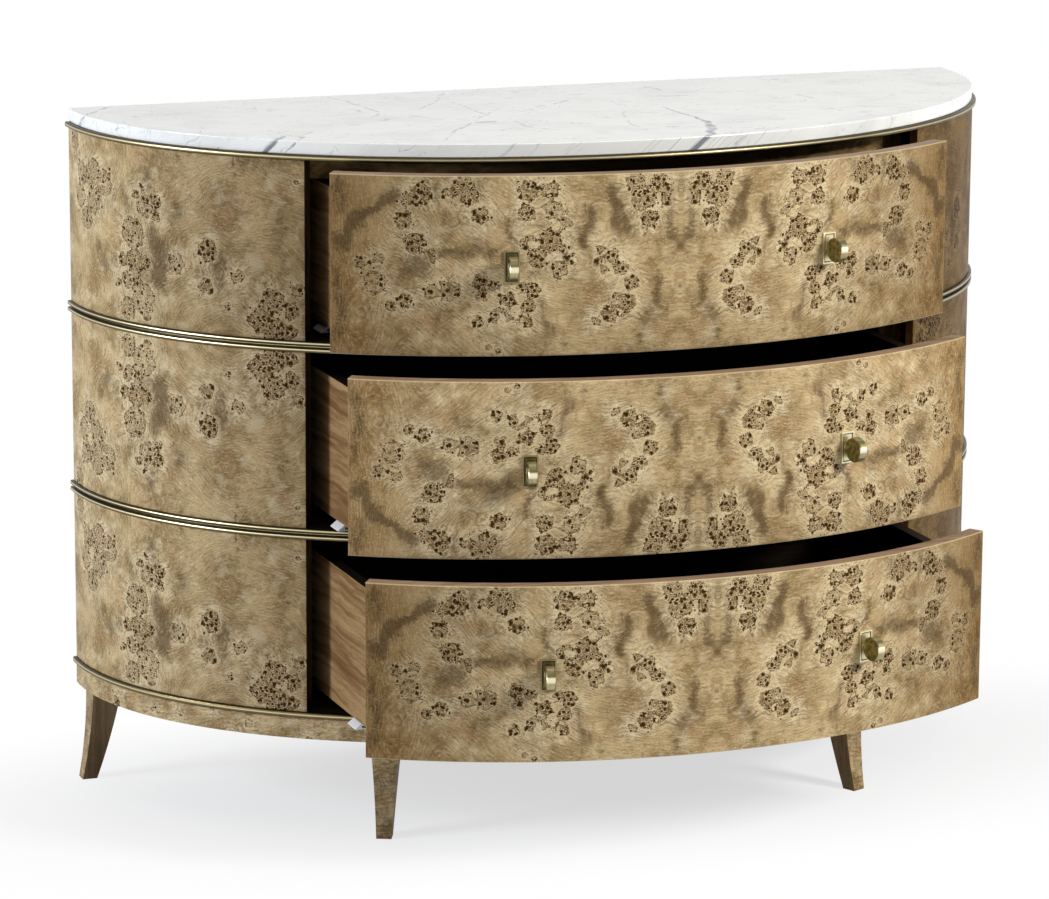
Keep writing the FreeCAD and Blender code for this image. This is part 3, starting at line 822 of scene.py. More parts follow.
@dataclass(frozen=True)
class Brass(Finish):
    """Aged brass."""

    effects: Effects
    bright: Colour
    dull: Colour
    age: float
    # Bright lines and glints: partly worn brass, partly painted highlight.
    wear_and_glint: Colour = tint(244, 236, 206)
    # Dark lines: polish residue in hollows and painted shade where parts meet.
    wax_and_shade: Colour = tint(40, 33, 18)
    mark_share: float = 0.8
    metallic: float = 1.0
    tangent: Pair = (0.9655, 0.26)

    def paint(self, g: Graph, grooves: Lines = (), rubs: Lines = ()) -> Surface:
        """Lay the patina, and marks over it.

        Args:
            g: The material's graph.
            grooves: Heights and half-widths in metres of the dark lines: polish residue in the hollows and
                painted shade where the bead meets its neighbours.
            rubs: Heights and half-widths in metres of the bright lines, partly worn bright and partly painted
                highlight.

        Returns:
            The colour, the roughness and the height.
        """
        place = g.place()
        feeds = {"Place": place, "Bright": self.bright, "Dull": self.dull, "Age": self.age}
        colour, rough, height = self.effects.patina.place(g, feeds)
        up = g.split(place)[2]
        # Dark lines are polish residue and painted shade; bright lines are partly wear and partly painted
        # highlight.
        marks = [(line, self.wax_and_shade) for line in grooves] + [(line, self.wear_and_glint) for line in rubs]
        for (level, half), mark in marks:
            away = g.size(g.less(up, level * MM))
            share = g.lack(g.smooth(away, 0.5 * half * MM, 1.3 * half * MM))
            colour = g.mix(g.times(share, self.mark_share), colour, mark)
        return colour, rough, height


@dataclass(frozen=True)
class KnobBrass(Brass):
    """Brass of a knob with painted reflections: a glint round the rim, dark bands above and below it and
    darker dished faces.
    """

    face: Colour = tint(158, 148, 96)
    face_edge: Colour = tint(112, 102, 62)
    # Painted dark reflection on the rim above and below the glint.
    shadow: Colour = tint(70, 63, 36)
    radius: float = 0.0152
    glint_place: Pair = (0.1, 0.22)

    def paint(self, g: Graph, middle: float) -> Surface:
        """Lay a painted glint round the rims, painted dark reflection above it and below it, and darker faces
        that stand in for dark reflections.

        Args:
            g: The material's graph.
            middle: The height of the knobs' middle.

        Returns:
            The colour, the roughness and the height.
        """
        # Painted glint: a bright band round the rim.
        level, half = (share * self.radius for share in self.glint_place)
        rim, rough, height = super().paint(g, rubs=((middle + level, half),))
        place = g.place()
        up = g.over(g.less(g.split(place)[2], middle * MM), self.radius * MM)
        above = g.band(up, (0.3, 0.42), (0.75, 0.95))
        below = g.lack(g.smooth(up, -0.95, -0.6))
        # Painted dark reflection above and below the glint.
        rim = g.mix(g.times(g.sum("MAXIMUM", above, below), 0.8), rim, self.shadow)
        x, y, _ = g.split(g.facing())
        beside = g.sum("SIGN", g.split(place)[0])
        flat = g.size(g.line(x, self.tangent[0], g.times(y, self.tangent[1], beside)))
        cloudy = g.smooth(g.noise(place, 1 / 5.0, 3.0), 0.35, 0.65)
        # Dished faces: brass darkened to stand in for the dark surroundings that they mirror (painted
        # reflection).
        face = g.mix(cloudy, self.face_edge, self.face)
        return g.mix(g.smooth(flat, 0.86, 0.97), rim, face), rough, height


@dataclass(frozen=True)
class PlateBrass(Brass):
    """Brass of a knob plate with dark polish residue and painted shade inside its raised border; the left
    plate is painted dimmer as a painted dark reflection.
    """

    half_width: float = 0.00925
    half_height: float = 0.01925
    border: float = 0.0017
    line: float = 0.0007
    wax_and_shade: Colour = tint(34, 28, 15)
    # Painted dark reflection: the left plate's metal and border are dimmer.
    left_plate_dark_reflection: Colour = tint(118, 112, 92)
    left_border_dark_reflection: Colour = tint(150, 142, 110)

    def paint(self, g: Graph, middle: Sequence[float]) -> Surface:
        """Lay dark polish residue and painted shade inside the border, a bright border that is partly wear
        and partly painted highlight, and painted dark reflection on the left plate.

        Args:
            g: The material's graph.
            middle: The middle of the right plate; the left one mirrors it.

        Returns:
            The colour, the roughness and the height.
        """
        metal, rough, height = super().paint(g)
        x, y, z = g.split(g.add("ShaderNodeTexCoord").outputs["Object"])
        back = g.times(g.less(y, middle[1]), self.tangent[1])
        across = g.size(g.line(g.less(g.size(x), middle[0]), self.tangent[0], back))
        up = g.size(g.less(z, middle[2]))
        past = g.sum("MAXIMUM", g.less(across, self.half_width), g.less(up, self.half_height))
        inset = g.size(g.sum("ADD", past, self.border + self.line))
        wax_and_shade = g.lack(g.smooth(inset, 0.4 * self.line, 1.3 * self.line))
        # Painted dark reflection on the left plate.
        left = g.sum("LESS_THAN", x, 0.0)
        metal = g.mix(left, metal, self.left_plate_dark_reflection, "MULTIPLY")
        # Dark polish residue and painted shade in the recess inside the border.
        metal = g.mix(g.times(wax_and_shade, 0.9), metal, self.wax_and_shade)
        rim = g.smooth(past, -self.border, -0.6 * self.border)
        border = g.mix(left, self.wear_and_glint, self.left_border_dark_reflection)
        return g.mix(g.times(rim, 0.7), metal, border), rough, height


@dataclass(frozen=True)
class Marble(Finish):
    """Polished white marble with grey veins.

    A vein is the places of its two ends on the top, its half-width and its strength, in millimetres. A net
    of fine veins is the size of its meshes, the breadth of its lines, the size of the patches that it shows
    in and its strength.
    """

    effects: Effects
    body: Colour = tint(239, 238, 232)
    cloud: Colour = tint(224, 223, 218)
    vein: Colour = tint(118, 121, 128)
    dash: Colour = tint(150, 155, 165)
    lean: float = 1.2
    fineness: float = 0.75
    strength: float = 1.3
    top: float = 869.9
    relief: Pair = (0.0001, 0.05)
    nets: Tuple[Row, ...] = (
        (120.0, 0.006, 60.0, 0.5), (64.0, 0.007, 46.0, 0.55), (30.0, 0.011, 34.0, 0.4),
    )
    veins: Tuple[Row, ...] = (
        (-265, 335, -253, 291, 4, 0.45), (-253, 291, -246, 190, 4, 0.55), (-246, 190, -266, 157, 4, 0.4),
        (-493, 214, -480, 192, 3, 0.4), (-480, 192, -449, 182, 3, 0.35), (-598, 286, -565, 327, 5, 0.45),
        (-565, 327, -549, 348, 5, 0.45), (-384, 139, -337, 181, 3, 0.4), (-337, 181, -264, 196, 3, 0.35),
        (-421, 95, -404, 26, 3, 0.4), (-404, 26, -377, 63, 4, 0.45), (-244, -54, -211, 8, 3, 0.4),
        (-211, 8, -155, 85, 4, 0.5), (-155, 85, -92, 180, 3, 0.35), (-156, 72, -137, 75, 10, 0.55),
        (-215, 160, -196, 116, 3, 0.35), (-196, 116, -158, 95, 3, 0.35), (-188, 203, -147, 256, 4, 0.45),
        (-147, 256, -113, 326, 4, 0.4), (-125, 249, -128, 192, 3, 0.4), (-128, 192, -123, 130, 3, 0.4),
        (-109, 70, -110, 21, 4, 0.5), (-110, 21, -82, -17, 4, 0.5), (-12, 191, 14, 213, 5, 0.45),
        (45, 95, 19, 7, 3, 0.4), (19, 7, 19, -59, 3, 0.4), (47, 94, 91, 79, 3, 0.35),
        (123, 218, 173, 208, 6, 0.6), (159, 300, 164, 266, 6, 0.5), (109, 123, 114, 62, 5, 0.6),
        (114, 62, 116, -4, 6, 0.7), (116, -4, 107, -42, 10, 0.8), (107, -42, 84, -100, 12, 0.75),
        (84, -100, 70, -122, 9, 0.85), (314, 169, 325, 138, 5, 0.45), (347, 57, 404, 20, 4, 0.45),
        (-419, 40, -432, 20, 7, 1.0), (-399, 25, -411, 6, 4, 1.0),
    )

    def paint(self, g: Graph) -> Surface:
        """Lay clouds, nets of fine veins, the veins one by one, and dashes on the edge.

        Args:
            g: The material's graph.

        Returns:
            The colour, the roughness and the height.
        """
        place = g.place()
        x, y, z = g.split(place)
        leaned = g.line(g.less(self.top, z), self.lean, x)
        level = g.join(leaned, y)
        slant = g.arrow("MULTIPLY", g.drift(level, 1 / 90.0, 90.0, 4.0), (0.7, 1.0, 1.0))
        clouds = g.smooth(g.noise(slant, 1 / 80.0, 4.0, 0.6), 0.42, 0.72)
        colour = g.mix(clouds, self.body, self.cloud)
        for size, width, fade, depth in self.nets:
            ridge = g.size(g.less(g.noise(slant, 1 / size, 3.0, 0.55), 0.5))
            line = g.lack(g.smooth(ridge, 0.0, width))
            shown = g.smooth(g.noise(level, 1 / fade, 2.0), 0.46, 0.66)
            colour = g.mix(g.times(line, shown, depth), colour, self.vein)
        wobbled = g.drift(g.drift(level, 1 / 24.0, 16.0, 3.0), 1 / 5.0, 3.0, 2.0)
        broken = g.line(g.smooth(g.noise(level, 1 / 14.0, 3.0), 0.3, 0.6), 0.75, 0.25)
        for x0, y0, x1, y1, width, depth in self.veins:
            mask, = self.effects.vein.place(g, {
                "Place": wobbled, "From": (x0, y0, 0.0), "To": (x1, y1, 0.0), "Width": self.fineness * width,
            })
            share = g.times(mask, broken, min(1.0, self.strength * depth))
            colour = g.mix(share, colour, self.vein)
        beside = g.lack(g.smooth(g.split(g.facing())[2], 0.3, 0.7))
        edge = g.join(g.over(leaned, 9.0), g.over(y, 16.0), g.over(z, 9.0))
        dashes = g.smooth(g.noise(edge, 1.0, 4.0, 0.65), 0.62, 0.78)
        colour = g.mix(g.times(dashes, beside, 0.6), colour, self.dash)
        rough = g.line(g.noise(place, 1 / 30.0, 3.0), 0.12, 0.14)
        return colour, rough, g.noise(place, 1 / 3.0, 2.0)


@dataclass(frozen=True)
class Moulded(Finish):
    """Moulded plastic or rolled steel with a fine surface."""

    body: Colour
    shade: Colour
    metallic: float = 0.0
    rough: float = 0.42
    relief: Pair = (0.0001, 0.1)

    def paint(self, g: Graph) -> Surface:
        """Lay fine specks and long marks.

        Args:
            g: The material's graph.

        Returns:
            The colour, the roughness and the height.
        """
        place = g.place()
        specks = g.noise(place, 1 / 1.4, 3.0, 0.6)
        marks = g.noise(g.arrow("MULTIPLY", place, (0.6, 0.02, 0.6)), 1.0, 2.0)
        colour = g.mix(g.times(g.sum("ADD", specks, marks), 0.4), self.body, self.shade)
        return colour, g.line(specks, 0.12, self.rough), specks


class Wave(NamedTuple):
    """A ripple in a sheet's figure: its height, its lengths along and across over two pi, and its start."""

    height: float
    along: float
    across: float
    start: float = 0.0

    def at(self, along: Array, across: Array) -> Array:
        """The ripple's level at many places."""
        return self.height * np.sin(along / self.along + across / self.across + self.start)


@dataclass(frozen=True)
class FigureMap:
    """Where the knots and smoky streaks lie on a sheet of veneer, in millimetres.

    A knot is its place along and across the sheet, its radius and its tone. A streak is the places of its
    two ends, its radius and its strength. The eddy is the middle, the reach and the drop of the arches in the
    grain, if it has them. The fibre is where straight upright fibre begins and where it is all there is. The
    shade is painted shade, by the place along the sheet.
    """

    knots: Tuple[Row, ...]
    streaks: Tuple[Row, ...]
    eddy: Optional[Triple] = None
    fibre: Optional[Pair] = None
    shade: Lines = ((0.0, 0.0),)
    clear_of_knots: float = 40.0
    knot_push: Triple = (-0.9, 1.1, 1.1)
    push_reach: float = 1.7
    streak_swell: Triple = (0.95, 0.35, 5.0)
    blown: Tuple[Wave, ...] = (Wave(4.0, 29.0, 13.0), Wave(2.0, -17.0, 6.3))
    risen: Tuple[Wave, ...] = (Wave(4.0, 15.0, -37.0), Wave(2.0, 7.1, 19.0))
    eddy_sway: Tuple[Wave, ...] = (Wave(8.0, 23.0, 31.0), Wave(6.0, -47.0, 14.0))
    eddy_turn: Pair = (150.0, 270.0)
    beside_sway: Wave = Wave(10.0, math.inf, 27.0)
    beside_slope: float = 0.9
    loose_sway: Tuple[Wave, ...] = (Wave(20.0, 58.0, math.inf, 1.3), Wave(13.0, 90.0, 36.0))
    loose_hollow: float = 70.0
    loose_slope: float = 0.45
    upright_sway: Wave = Wave(5.0, math.inf, 40.0)
    upright_start: Pair = (360.0, 272.0)
    upright_slope: float = 1.2

    def straight(self, along: Array) -> Array:
        """How far the figure has turned to straight upright fibre.

        Args:
            along: Places along the sheet.

        Returns:
            A share from 0 to 1 for each place.
        """
        if not self.fibre:
            return np.zeros(along.shape)
        share = np.clip((along - self.fibre[0]) / (self.fibre[1] - self.fibre[0]), 0.0, 1.0)
        return share * share * (3.0 - 2.0 * share)

    def golden_and_painted_shade(self, along: Array) -> Tuple[Array, Array]:
        """The golden tone and the painted shade along the sheet."""
        places, levels = zip(*self.shade)
        return self.straight(along), np.interp(along, places, levels)

    def measure(self, along: Array, across: Array) -> Tuple[Array, ...]:
        """Find the figure at many places.

        Args:
            along: Places along the sheet.
            across: Places across the sheet.

        Returns:
            The grain's flow, the distance past the nearest knot's edge, that knot's tone and the smoke.
        """
        knot = np.full(along.shape, self.clear_of_knots)
        tone = np.zeros(along.shape)
        flow = self.flow(along, across)
        for number, (a, v, radius, strength) in enumerate(self.knots):
            away = np.hypot(along - a, across - v)
            nearer = away - radius < knot
            knot = np.where(nearer, away - radius, knot)
            tone = np.where(nearer, strength, tone)
            push = radius * self.knot_push[number % 3]
            flow = flow + push * np.exp(-((away / (self.push_reach * radius)) ** 2))
        smoke = np.zeros(along.shape)
        blown = along + sum(wave.at(along, across) for wave in self.blown)
        risen = across + sum(wave.at(along, across) for wave in self.risen)
        mean, swell, swings = self.streak_swell
        for a0, v0, a1, v1, radius, strength in self.streaks:
            da, dv = a1 - a0, v1 - v0
            share = np.clip(((blown - a0) * da + (risen - v0) * dv) / (da * da + dv * dv), 0.0, 1.0)
            away = np.hypot(blown - a0 - share * da, risen - v0 - share * dv)
            wide = radius * (mean + swell * np.sin(swings * share + a0))
            smoke = np.maximum(smoke, strength * np.exp(-((away / wide) ** 2)))
        return flow, knot, tone, smoke

    def flow(self, along: Array, across: Array) -> Array:
        """The wavy lines of the grain before the knots push them aside.

        Args:
            along: Places along the sheet.
            across: Places across the sheet.

        Returns:
            A level for each place; the fibres follow lines of the same level.
        """
        if self.eddy:
            a, reach, drop = self.eddy
            sway = sum(wave.at(along, across) for wave in self.eddy_sway)
            arched = across + drop * np.tanh((along - a) / reach) ** 2 + sway
            beside = self.beside_slope * along + self.beside_sway.at(along, across) + sway
            turn = np.interp(along, self.eddy_turn, (0.0, 1.0))
            return arched * (1.0 - turn) + beside * turn
        sway = sum(wave.at(along, across) for wave in self.loose_sway)
        loose = self.loose_slope * np.hypot(along, self.loose_hollow) + across + sway
        begin, level = self.upright_start
        upright = level + self.upright_slope * (along - begin) + self.upright_sway.at(along, across)
        share = self.straight(along)
        return loose * (1.0 - share) + upright * share


FRONT_FIGURE = FigureMap(
    knots=(
        (335, 151, 9.4, 0.8), (351, 157, 6.2, 0.6), (370, 130, 13.8, 0.35), (387, 106, 7.5, 0.4),
        (367, 100, 6.9, 0.3), (303, 139, 9.4, 0.5), (282, 137, 12.5, 0.2), (323, 80, 13.1, 1),
        (305, 92, 5.3, 0.7), (301, 100, 4.4, 0.6), (337, 53, 10.6, 0.8), (317, 22, 13.8, 0.7),
        (333, 29, 7.5, 0.5), (283, 19, 6.9, 0.5), (258, 25, 11.2, 0.8), (265, 11, 12.5, 0.6),
        (245, 46, 10.6, 0.8), (223, 211, 4.4, 0.7), (234, 207, 3.4, 0.6), (248, 174, 6.9, 0.6),
        (228, 170, 6.9, 0.8), (212, 170, 4.4, 0.6), (189, 176, 6.9, 0.8), (200, 172, 3.8, 0.6),
        (211, 150, 9.4, 1),
        (222, 161, 4.7, 0.5), (187, 157, 9.4, 1), (181, 137, 9.4, 1), (194, 134, 6.9, 0.8),
        (243, 143, 6.9, 0.9), (245, 127, 9.4, 1), (229, 132, 6.9, 1), (178, 99, 11.9, 0.7),
        (150, 113, 10, 0.6), (141, 98, 6.9, 0.9), (147, 90, 5.6, 0.8), (193, 83, 6.2, 0.9),
        (187, 74, 5, 0.8), (161, 78, 14.4, 0.9), (143, 57, 7.8, 0.5), (158, 41, 11.9, 0.4),
        (190, 45, 10.6, 0.8), (188, 18, 13.1, 0.9), (162, 18, 10.6, 0.7), (106, 177, 5.6, 0.5),
        (89, 168, 10.9, 0.9), (68, 157, 11.9, 0.9), (80, 147, 4.7, 1), (72, 169, 3.8, 0.6),
        (62, 132, 8.8, 0.9), (75, 114, 8.8, 0.6), (103, 105, 5.6, 1), (96, 114, 5.6, 0.6),
        (86, 99, 9.4, 0.7), (100, 90, 5.6, 0.9), (39, 55, 10.9, 0.9), (47, 30, 15.6, 0.8),
        (20, 35, 7.5, 0.7), (17, 21, 8.1, 0.7), (28, 14, 11.9, 0.8), (58, 11, 12.5, 0.7),
    ),
    streaks=(
        (414, 197, 417, 113, 7, 0.5), (417, 82, 392, 54, 9, 0.9), (392, 54, 354, 22, 9, 0.9),
        (379, 163, 408, 138, 9, 0.3), (333, 113, 301, 91, 13, 0.7), (283, 143, 281, 130, 11, 0.6),
        (295, 163, 276, 175, 11, 0.35), (239, 94, 289, 91, 11, 0.6), (283, 50, 292, 41, 11, 0.5),
        (292, 41, 301, 16, 11, 0.5), (208, 82, 211, 54, 5, 0.55), (165, 191, 170, 160, 9, 0.5),
        (118, 85, 116, 39, 7, 0.75), (76, 66, 83, 16, 10, 0.95), (47, 194, 45, 172, 11, 0.4),
        (33, 154, 25, 122, 9, 0.5), (7, 84, 12, 26, 10, 0.5), (20, 160, -2, 144, 11, 0.35),
        (267, 13, 251, 7, 16, 0.5), (317, 41, 323, 35, 11, 0.5), (404, 41, 420, 16, 9, 0.4),
        (145, 204, 151, 178, 8, 0.3),
    ),
    fibre=(330.0, 410.0),
    # Painted shade: the front darkens towards its ends.
    shade=((0.0, 0.0), (200.0, 0.05), (410.0, 0.62)),
)
PANEL_FIGURE = FigureMap(
    knots=(
        (334, 174, 20, 0.5), (367, 172, 15, 0.5), (372, 142, 15, 0.4), (334, 142, 17.5, 0.5),
        (307, 167, 17.5, 0.4), (353, 118, 15, 0.5), (243, 161, 6.5, 0.8), (232, 171, 4, 0.7),
        (209, 154, 10.5, 0.9), (226, 149, 14.5, 0.6), (208, 136, 6, 0.8), (249, 112, 20.5, 0.6),
        (247, 77, 15, 1), (267, 76, 10, 1), (229, 77, 10, 0.9), (278, 47, 5.5, 0.8), (261, 52, 10, 0.8),
        (243, 56, 8.5, 0.8), (232, 32, 20, 0.4), (259, 16, 14.5, 0.6), (226, 16, 10, 0.5),
        (129, 103, 14.5, 1), (133, 58, 10.5, 0.8), (88, 74, 9, 0.4), (102, 36, 4, 0.8),
        (41, 47, 15.5, 0.8), (57, 22, 16.5, 0.9), (38, 10, 16.5, 0.9), (17, 36, 10, 0.7),
        (18, 10, 7.5, 0.9), (392, 212, 15, 0.5), (176, 82, 12.5, 0.25), (10, 193, 2.5, 0.3),
        (9, 62, 8.5, 0.5),
    ),
    streaks=(
        (212, 112, 199, 62, 18, 0.75), (108, 92, 112, 57, 11, 0.65), (222, 174, 219, 184, 9, 0.5),
        (317, 87, 304, 60, 7, 0.45), (174, 160, 167, 147, 15, 0.45), (99, 214, 82, 210, 15, 0.3),
        (234, 62, 194, 52, 10, 0.5), (267, 152, 262, 144, 6, 0.4), (7, 47, 7, 32, 10, 0.5),
        (137, 82, 134, 72, 8, 0.3), (402, 82, 402, 22, 10, 0.3),
    ),
    eddy=(75.0, 110.0, 75.0),
    # Painted shade: the panel darkens towards the opening.
    shade=((0.0, 0.55), (160.0, 0.28), (300.0, 0.05)),
)


class Skin(Enum):
    """The material slots of a veneered sheet."""

    FACE = 0
    EDGE = 1
    INSIDE = 2


Point = Tuple[float, float, Skin]


@dataclass
class Sheet:
    """A bent board of even thickness with a veneered outer face."""

    name: str
    outer: Array
    inner: Array
    runs: Array
    low: float
    high: float
    easing: float
    figure: FigureMap
    flipped: bool
    step: float = 0.0035
    rub: float = 0.0
    # Painted shade added on top of the figure's own painted shade.
    shade: float = 0.0
    VENEER = "veneer"
    FIGURE = "figure"
    STAIN_AND_SHADE = "stain"
    BACK = -1.0
    EASED_AT = (30.0, 60.0)
    SHARP = 38.0
    RUB_FADE = 1.4

    def profile(self) -> List[Point]:
        """The board's section.

        Returns:
            Points in order round the section: depth from the outer face, or BACK for the inner face,
            height, and the skin of the face that follows the point.
        """
        e = self.easing
        count = max(4, int(round((self.high - self.low - 2 * e) / self.step)))
        points = [(0.0, z, Skin.FACE) for z in np.linspace(self.low + e, self.high - e, count)]
        turns = [math.radians(angle) for angle in self.EASED_AT]
        points += [(e - e * math.cos(t), self.high - e + e * math.sin(t), Skin.FACE) for t in turns]
        points += [
            (e, self.high, Skin.EDGE), (self.BACK, self.high, Skin.INSIDE),
            (self.BACK, self.low, Skin.EDGE), (e, self.low, Skin.FACE),
        ]
        points += [(e - e * math.sin(t), self.low + e - e * math.cos(t), Skin.FACE) for t in turns]
        return points

    def build(self, skins: Sequence[Material], body: str) -> bpy.types.Object:
        """Make the board's mesh, carry the figure on it and set it on its body.

        Args:
            skins: The materials of the face, the edges and the inside.
            body: The body that it rides on.

        Returns:
            The new object.
        """
        section = self.profile()
        stations, ring = len(self.outer), len(section)
        ends = np.minimum(self.runs - self.runs.min(), self.runs.max() - self.runs)
        near = np.clip(self.easing - ends, 0.0, self.easing)
        pull = self.easing - np.sqrt(np.maximum(self.easing ** 2 - near ** 2, 0.0))
        thick = np.linalg.norm(self.inner - self.outer, axis=1)
        depth = np.array([p[0] for p in section])
        depth = np.where(depth[None, :] < 0.0, thick[:, None], np.maximum(depth[None, :], pull[:, None]))
        heights = np.array([p[1] for p in section])
        ways = (self.inner - self.outer) / thick[:, None]
        places = np.empty((stations, ring, 3))
        places[:, :, :2] = self.outer[:, None, :] + ways[:, None, :] * depth[:, :, None]
        places[:, :, 2] = heights[None, :]
        faces, slots = self.faces(section, stations)
        mesh = bpy.data.meshes.new(self.name)
        mesh.from_pydata(places.reshape(-1, 3).tolist(), [], faces)
        for skin in skins:
            mesh.materials.append(skin)
        mesh.polygons.foreach_set("material_index", slots)
        mesh.polygons.foreach_set("use_smooth", [True] * len(faces))
        mesh.set_sharp_from_angle(angle=math.radians(self.SHARP))
        self.carry(mesh, heights, ring)
        mesh.validate()
        made = set_out(self.name, mesh)
        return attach(made, body)

    def faces(self, section: List[Point], stations: int) -> Tuple[List[List[int]], List[int]]:
        """The faces of the board, with two end caps.

        Args:
            section: The section's points.
            stations: How many sections there are.

        Returns:
            Each face's points and each face's skin.
        """
        ring = len(section)
        turned = np.cross(self.outer[-1] - self.outer[0], self.inner[0] - self.outer[0]) < 0.0
        faces, slots = [], []
        for i in range(stations - 1):
            for j in range(ring):
                k = (j + 1) % ring
                quad = [i * ring + j, (i + 1) * ring + j, (i + 1) * ring + k, i * ring + k]
                faces.append(quad[::-1] if turned else quad)
                slots.append(section[j][2].value)
        first = list(range(ring))
        last = [(stations - 1) * ring + j for j in reversed(range(ring))]
        faces += [first[::-1], last[::-1]] if turned else [first, last]
        slots += [Skin.EDGE.value, Skin.EDGE.value]
        return faces, slots

    def carry(self, mesh: bpy.types.Mesh, heights: Array, ring: int) -> None:
        """Write the figure onto the mesh.

        Args:
            mesh: The board's mesh.
            heights: The section's heights.
            ring: How many points the section has.
        """
        along = np.repeat(np.abs(self.runs) * MM, ring)
        across = np.tile(self.high - heights if self.flipped else heights - self.low, len(self.runs)) * MM
        flow, knot, tone, smoke = self.figure.measure(along, across)
        # The third attribute holds the golden tone, the arris rub and the painted shade.
        golden, shade = self.figure.golden_and_painted_shade(along)
        shade = np.clip(shade + self.shade, 0.0, 1.0)
        inset = np.minimum(heights - self.low, self.high - heights) / self.easing
        rub = np.tile(self.rub * np.clip(self.RUB_FADE * (1.0 - inset), 0.0, 1.0), len(self.runs))
        layers = (
            (self.VENEER, (along, across, flow)), (self.FIGURE, (knot, tone, smoke)),
            (self.STAIN_AND_SHADE, (golden, rub, shade)),
        )
        for label, parts in layers:
            layer = mesh.attributes.new(label, "FLOAT_VECTOR", "POINT")
            layer.data.foreach_set("vector", np.stack(parts, 1).astype(np.float32).ravel())


def dress_node(node: str, *skins: Material) -> None:
    """Give a frame node its materials and report it.

    Args:
        node: The node's name.
        skins: The materials.
    """
    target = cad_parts[node]
    target.data.materials.clear()
    for skin in skins:
        target.data.materials.append(skin)
    LOG.info("dressed %s", node)


@dataclass
class Drawer:
    """One bow-fronted drawer with its knobs and runners."""

    tier: Tier
    oval: Oval
    front_half: float = 0.404
    front_inner_half: float = 0.39285
    front_thickness: float = 0.020
    front_easing: float = 0.0015
    arris_rub: float = 0.6
    # Less painted shade at the middle drawer's front ends; a negative value lightens them.
    middle_painted_shade: float = -0.35
    face_step: float = 0.0035
    end_steps: Row = (0.12, 0.35, 0.65)

    @property
    def body(self) -> str:
        """The body that the drawer moves with."""
        return self.tier.value + "_drawer"

    def build(self, skins: Sequence[Material]) -> None:
        """Replace the front by a board that carries its figure.

        Args:
            skins: The materials of the face, the edges and the inside.
        """
        node = self.body + "_front"
        low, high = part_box(node)
        reach = float(self.oval.run(np.array([self.front_half]))[0])
        count = int(round(2 * reach / self.face_step))
        runs = np.linspace(-reach, reach, count)
        close = self.front_easing * np.array(self.end_steps)
        runs = np.sort(np.concatenate((runs, reach - close, close - reach)))
        x = self.oval.at(runs)
        forward = float(self.oval.depth(np.array([0.0]), 0.0)[0]) - low.y
        outer = np.stack((x, self.oval.depth(x, 0.0) - forward), 1)
        back = x * self.front_inner_half / self.front_half
        inner = np.stack((back, self.oval.depth(back, self.front_thickness) - forward), 1)
        sheet = Sheet(
            node + "_board", outer, inner, runs, low.z, high.z, self.front_easing, FRONT_FIGURE,
            self.tier is not Tier.MIDDLE, self.face_step, self.arris_rub,
            self.middle_painted_shade if self.tier is Tier.MIDDLE else 0.0,
        )
        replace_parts(sheet.build(skins, self.body), node)
        LOG.info("built %s", sheet.name)

    def dress(self, wood: Material, cross: Material, plate: PlateBrass,
              knob: KnobBrass, steel: Material, clip: Material) -> None:
        """Dress the drawer's box and fittings.

        Args:
            wood: The sides' wood.
            cross: The back's and the bottom's wood.
            plate: The finish of the knob plates.
            knob: The finish of the knobs.
            steel: The runners' steel.
            clip: The runner clips' plastic.
        """
        tier = self.tier.value
        for side in Side:
            dress_node("%s_%s_side" % (self.body, side.word), wood)
        dress_node(self.body + "_back", cross)
        dress_node(self.body + "_bottom", cross)
        low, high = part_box(tier + "_knob_plates")
        turned = plate.half_width * plate.tangent[0]
        middle = (high.x - turned, (low.y + high.y) / 2, (low.z + high.z) / 2)
        dress_node(tier + "_knob_plates", plate.material(tier + "_plate_brass", middle))
        dress_node(tier + "_knobs", knob.material(tier + "_knob_brass", middle[2]))
        dress_node(tier + "_drawer_runners", steel)
        dress_node(tier + "_middle_runners", steel)
        dress_node(tier + "_runner_clips", clip)


@dataclass
class SidePanel:
    """One curved side panel of the case."""

    tier: Tier
    side: Side
    oval: Oval
    thickness: float = 0.019
    opening_half: float = 0.406
    easing: float = 0.0008
    face_step: float = 0.004
    # Painted shade: darker right panels, and less painted shade on the lower tiers' left panels.
    right_painted_shade: float = 0.75
    lower_painted_shade: float = -0.2

    def build(self, skins: Sequence[Material]) -> None:
        """Replace the panel by a board that carries its figure.

        Args:
            skins: The materials of the face, the edges and the inside.
        """
        node = "%s_%s_panel" % (self.tier.value, self.side.word)
        low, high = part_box(node)
        wide, bow = self.oval.half_width, self.oval.bow
        first = math.asin(self.opening_half / wide)
        hidden = math.asin(self.opening_half / (wide - self.thickness))
        start = float(self.oval.run(np.array([self.opening_half]))[0])
        length = float(self.oval.run(np.array([wide]))[0]) - start
        count = int(round(length / self.face_step))
        angles = np.linspace(first, math.pi / 2, count)
        insides = np.linspace(hidden, math.pi / 2, count)
        outer = np.stack((wide * np.sin(angles), self.oval.centre - bow * np.cos(angles)), 1)
        inner = np.stack((
            (wide - self.thickness) * np.sin(insides),
            self.oval.centre - (bow - self.thickness) * np.cos(insides),
        ), 1)
        outer = np.vstack((outer, (wide, self.oval.back)))
        inner = np.vstack((inner, (wide - self.thickness, self.oval.back)))
        runs = np.concatenate(([0.0], np.cumsum(np.linalg.norm(np.diff(outer, axis=0), axis=1))))
        outer[:, 0] *= self.side.value
        inner[:, 0] *= self.side.value
        # Painted shade of the left panels by tier.
        left_painted_shade = 0.0 if self.tier is Tier.UPPER else self.lower_painted_shade
        sheet = Sheet(
            node + "_board", outer, inner, runs, low.z, high.z, self.easing, PANEL_FIGURE,
            self.tier is Tier.MIDDLE, self.face_step,
            shade=self.right_painted_shade if self.side is Side.RIGHT else left_painted_shade,
        )
        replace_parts(sheet.build(skins, "carcass"), node)
        LOG.info("built %s", sheet.name)


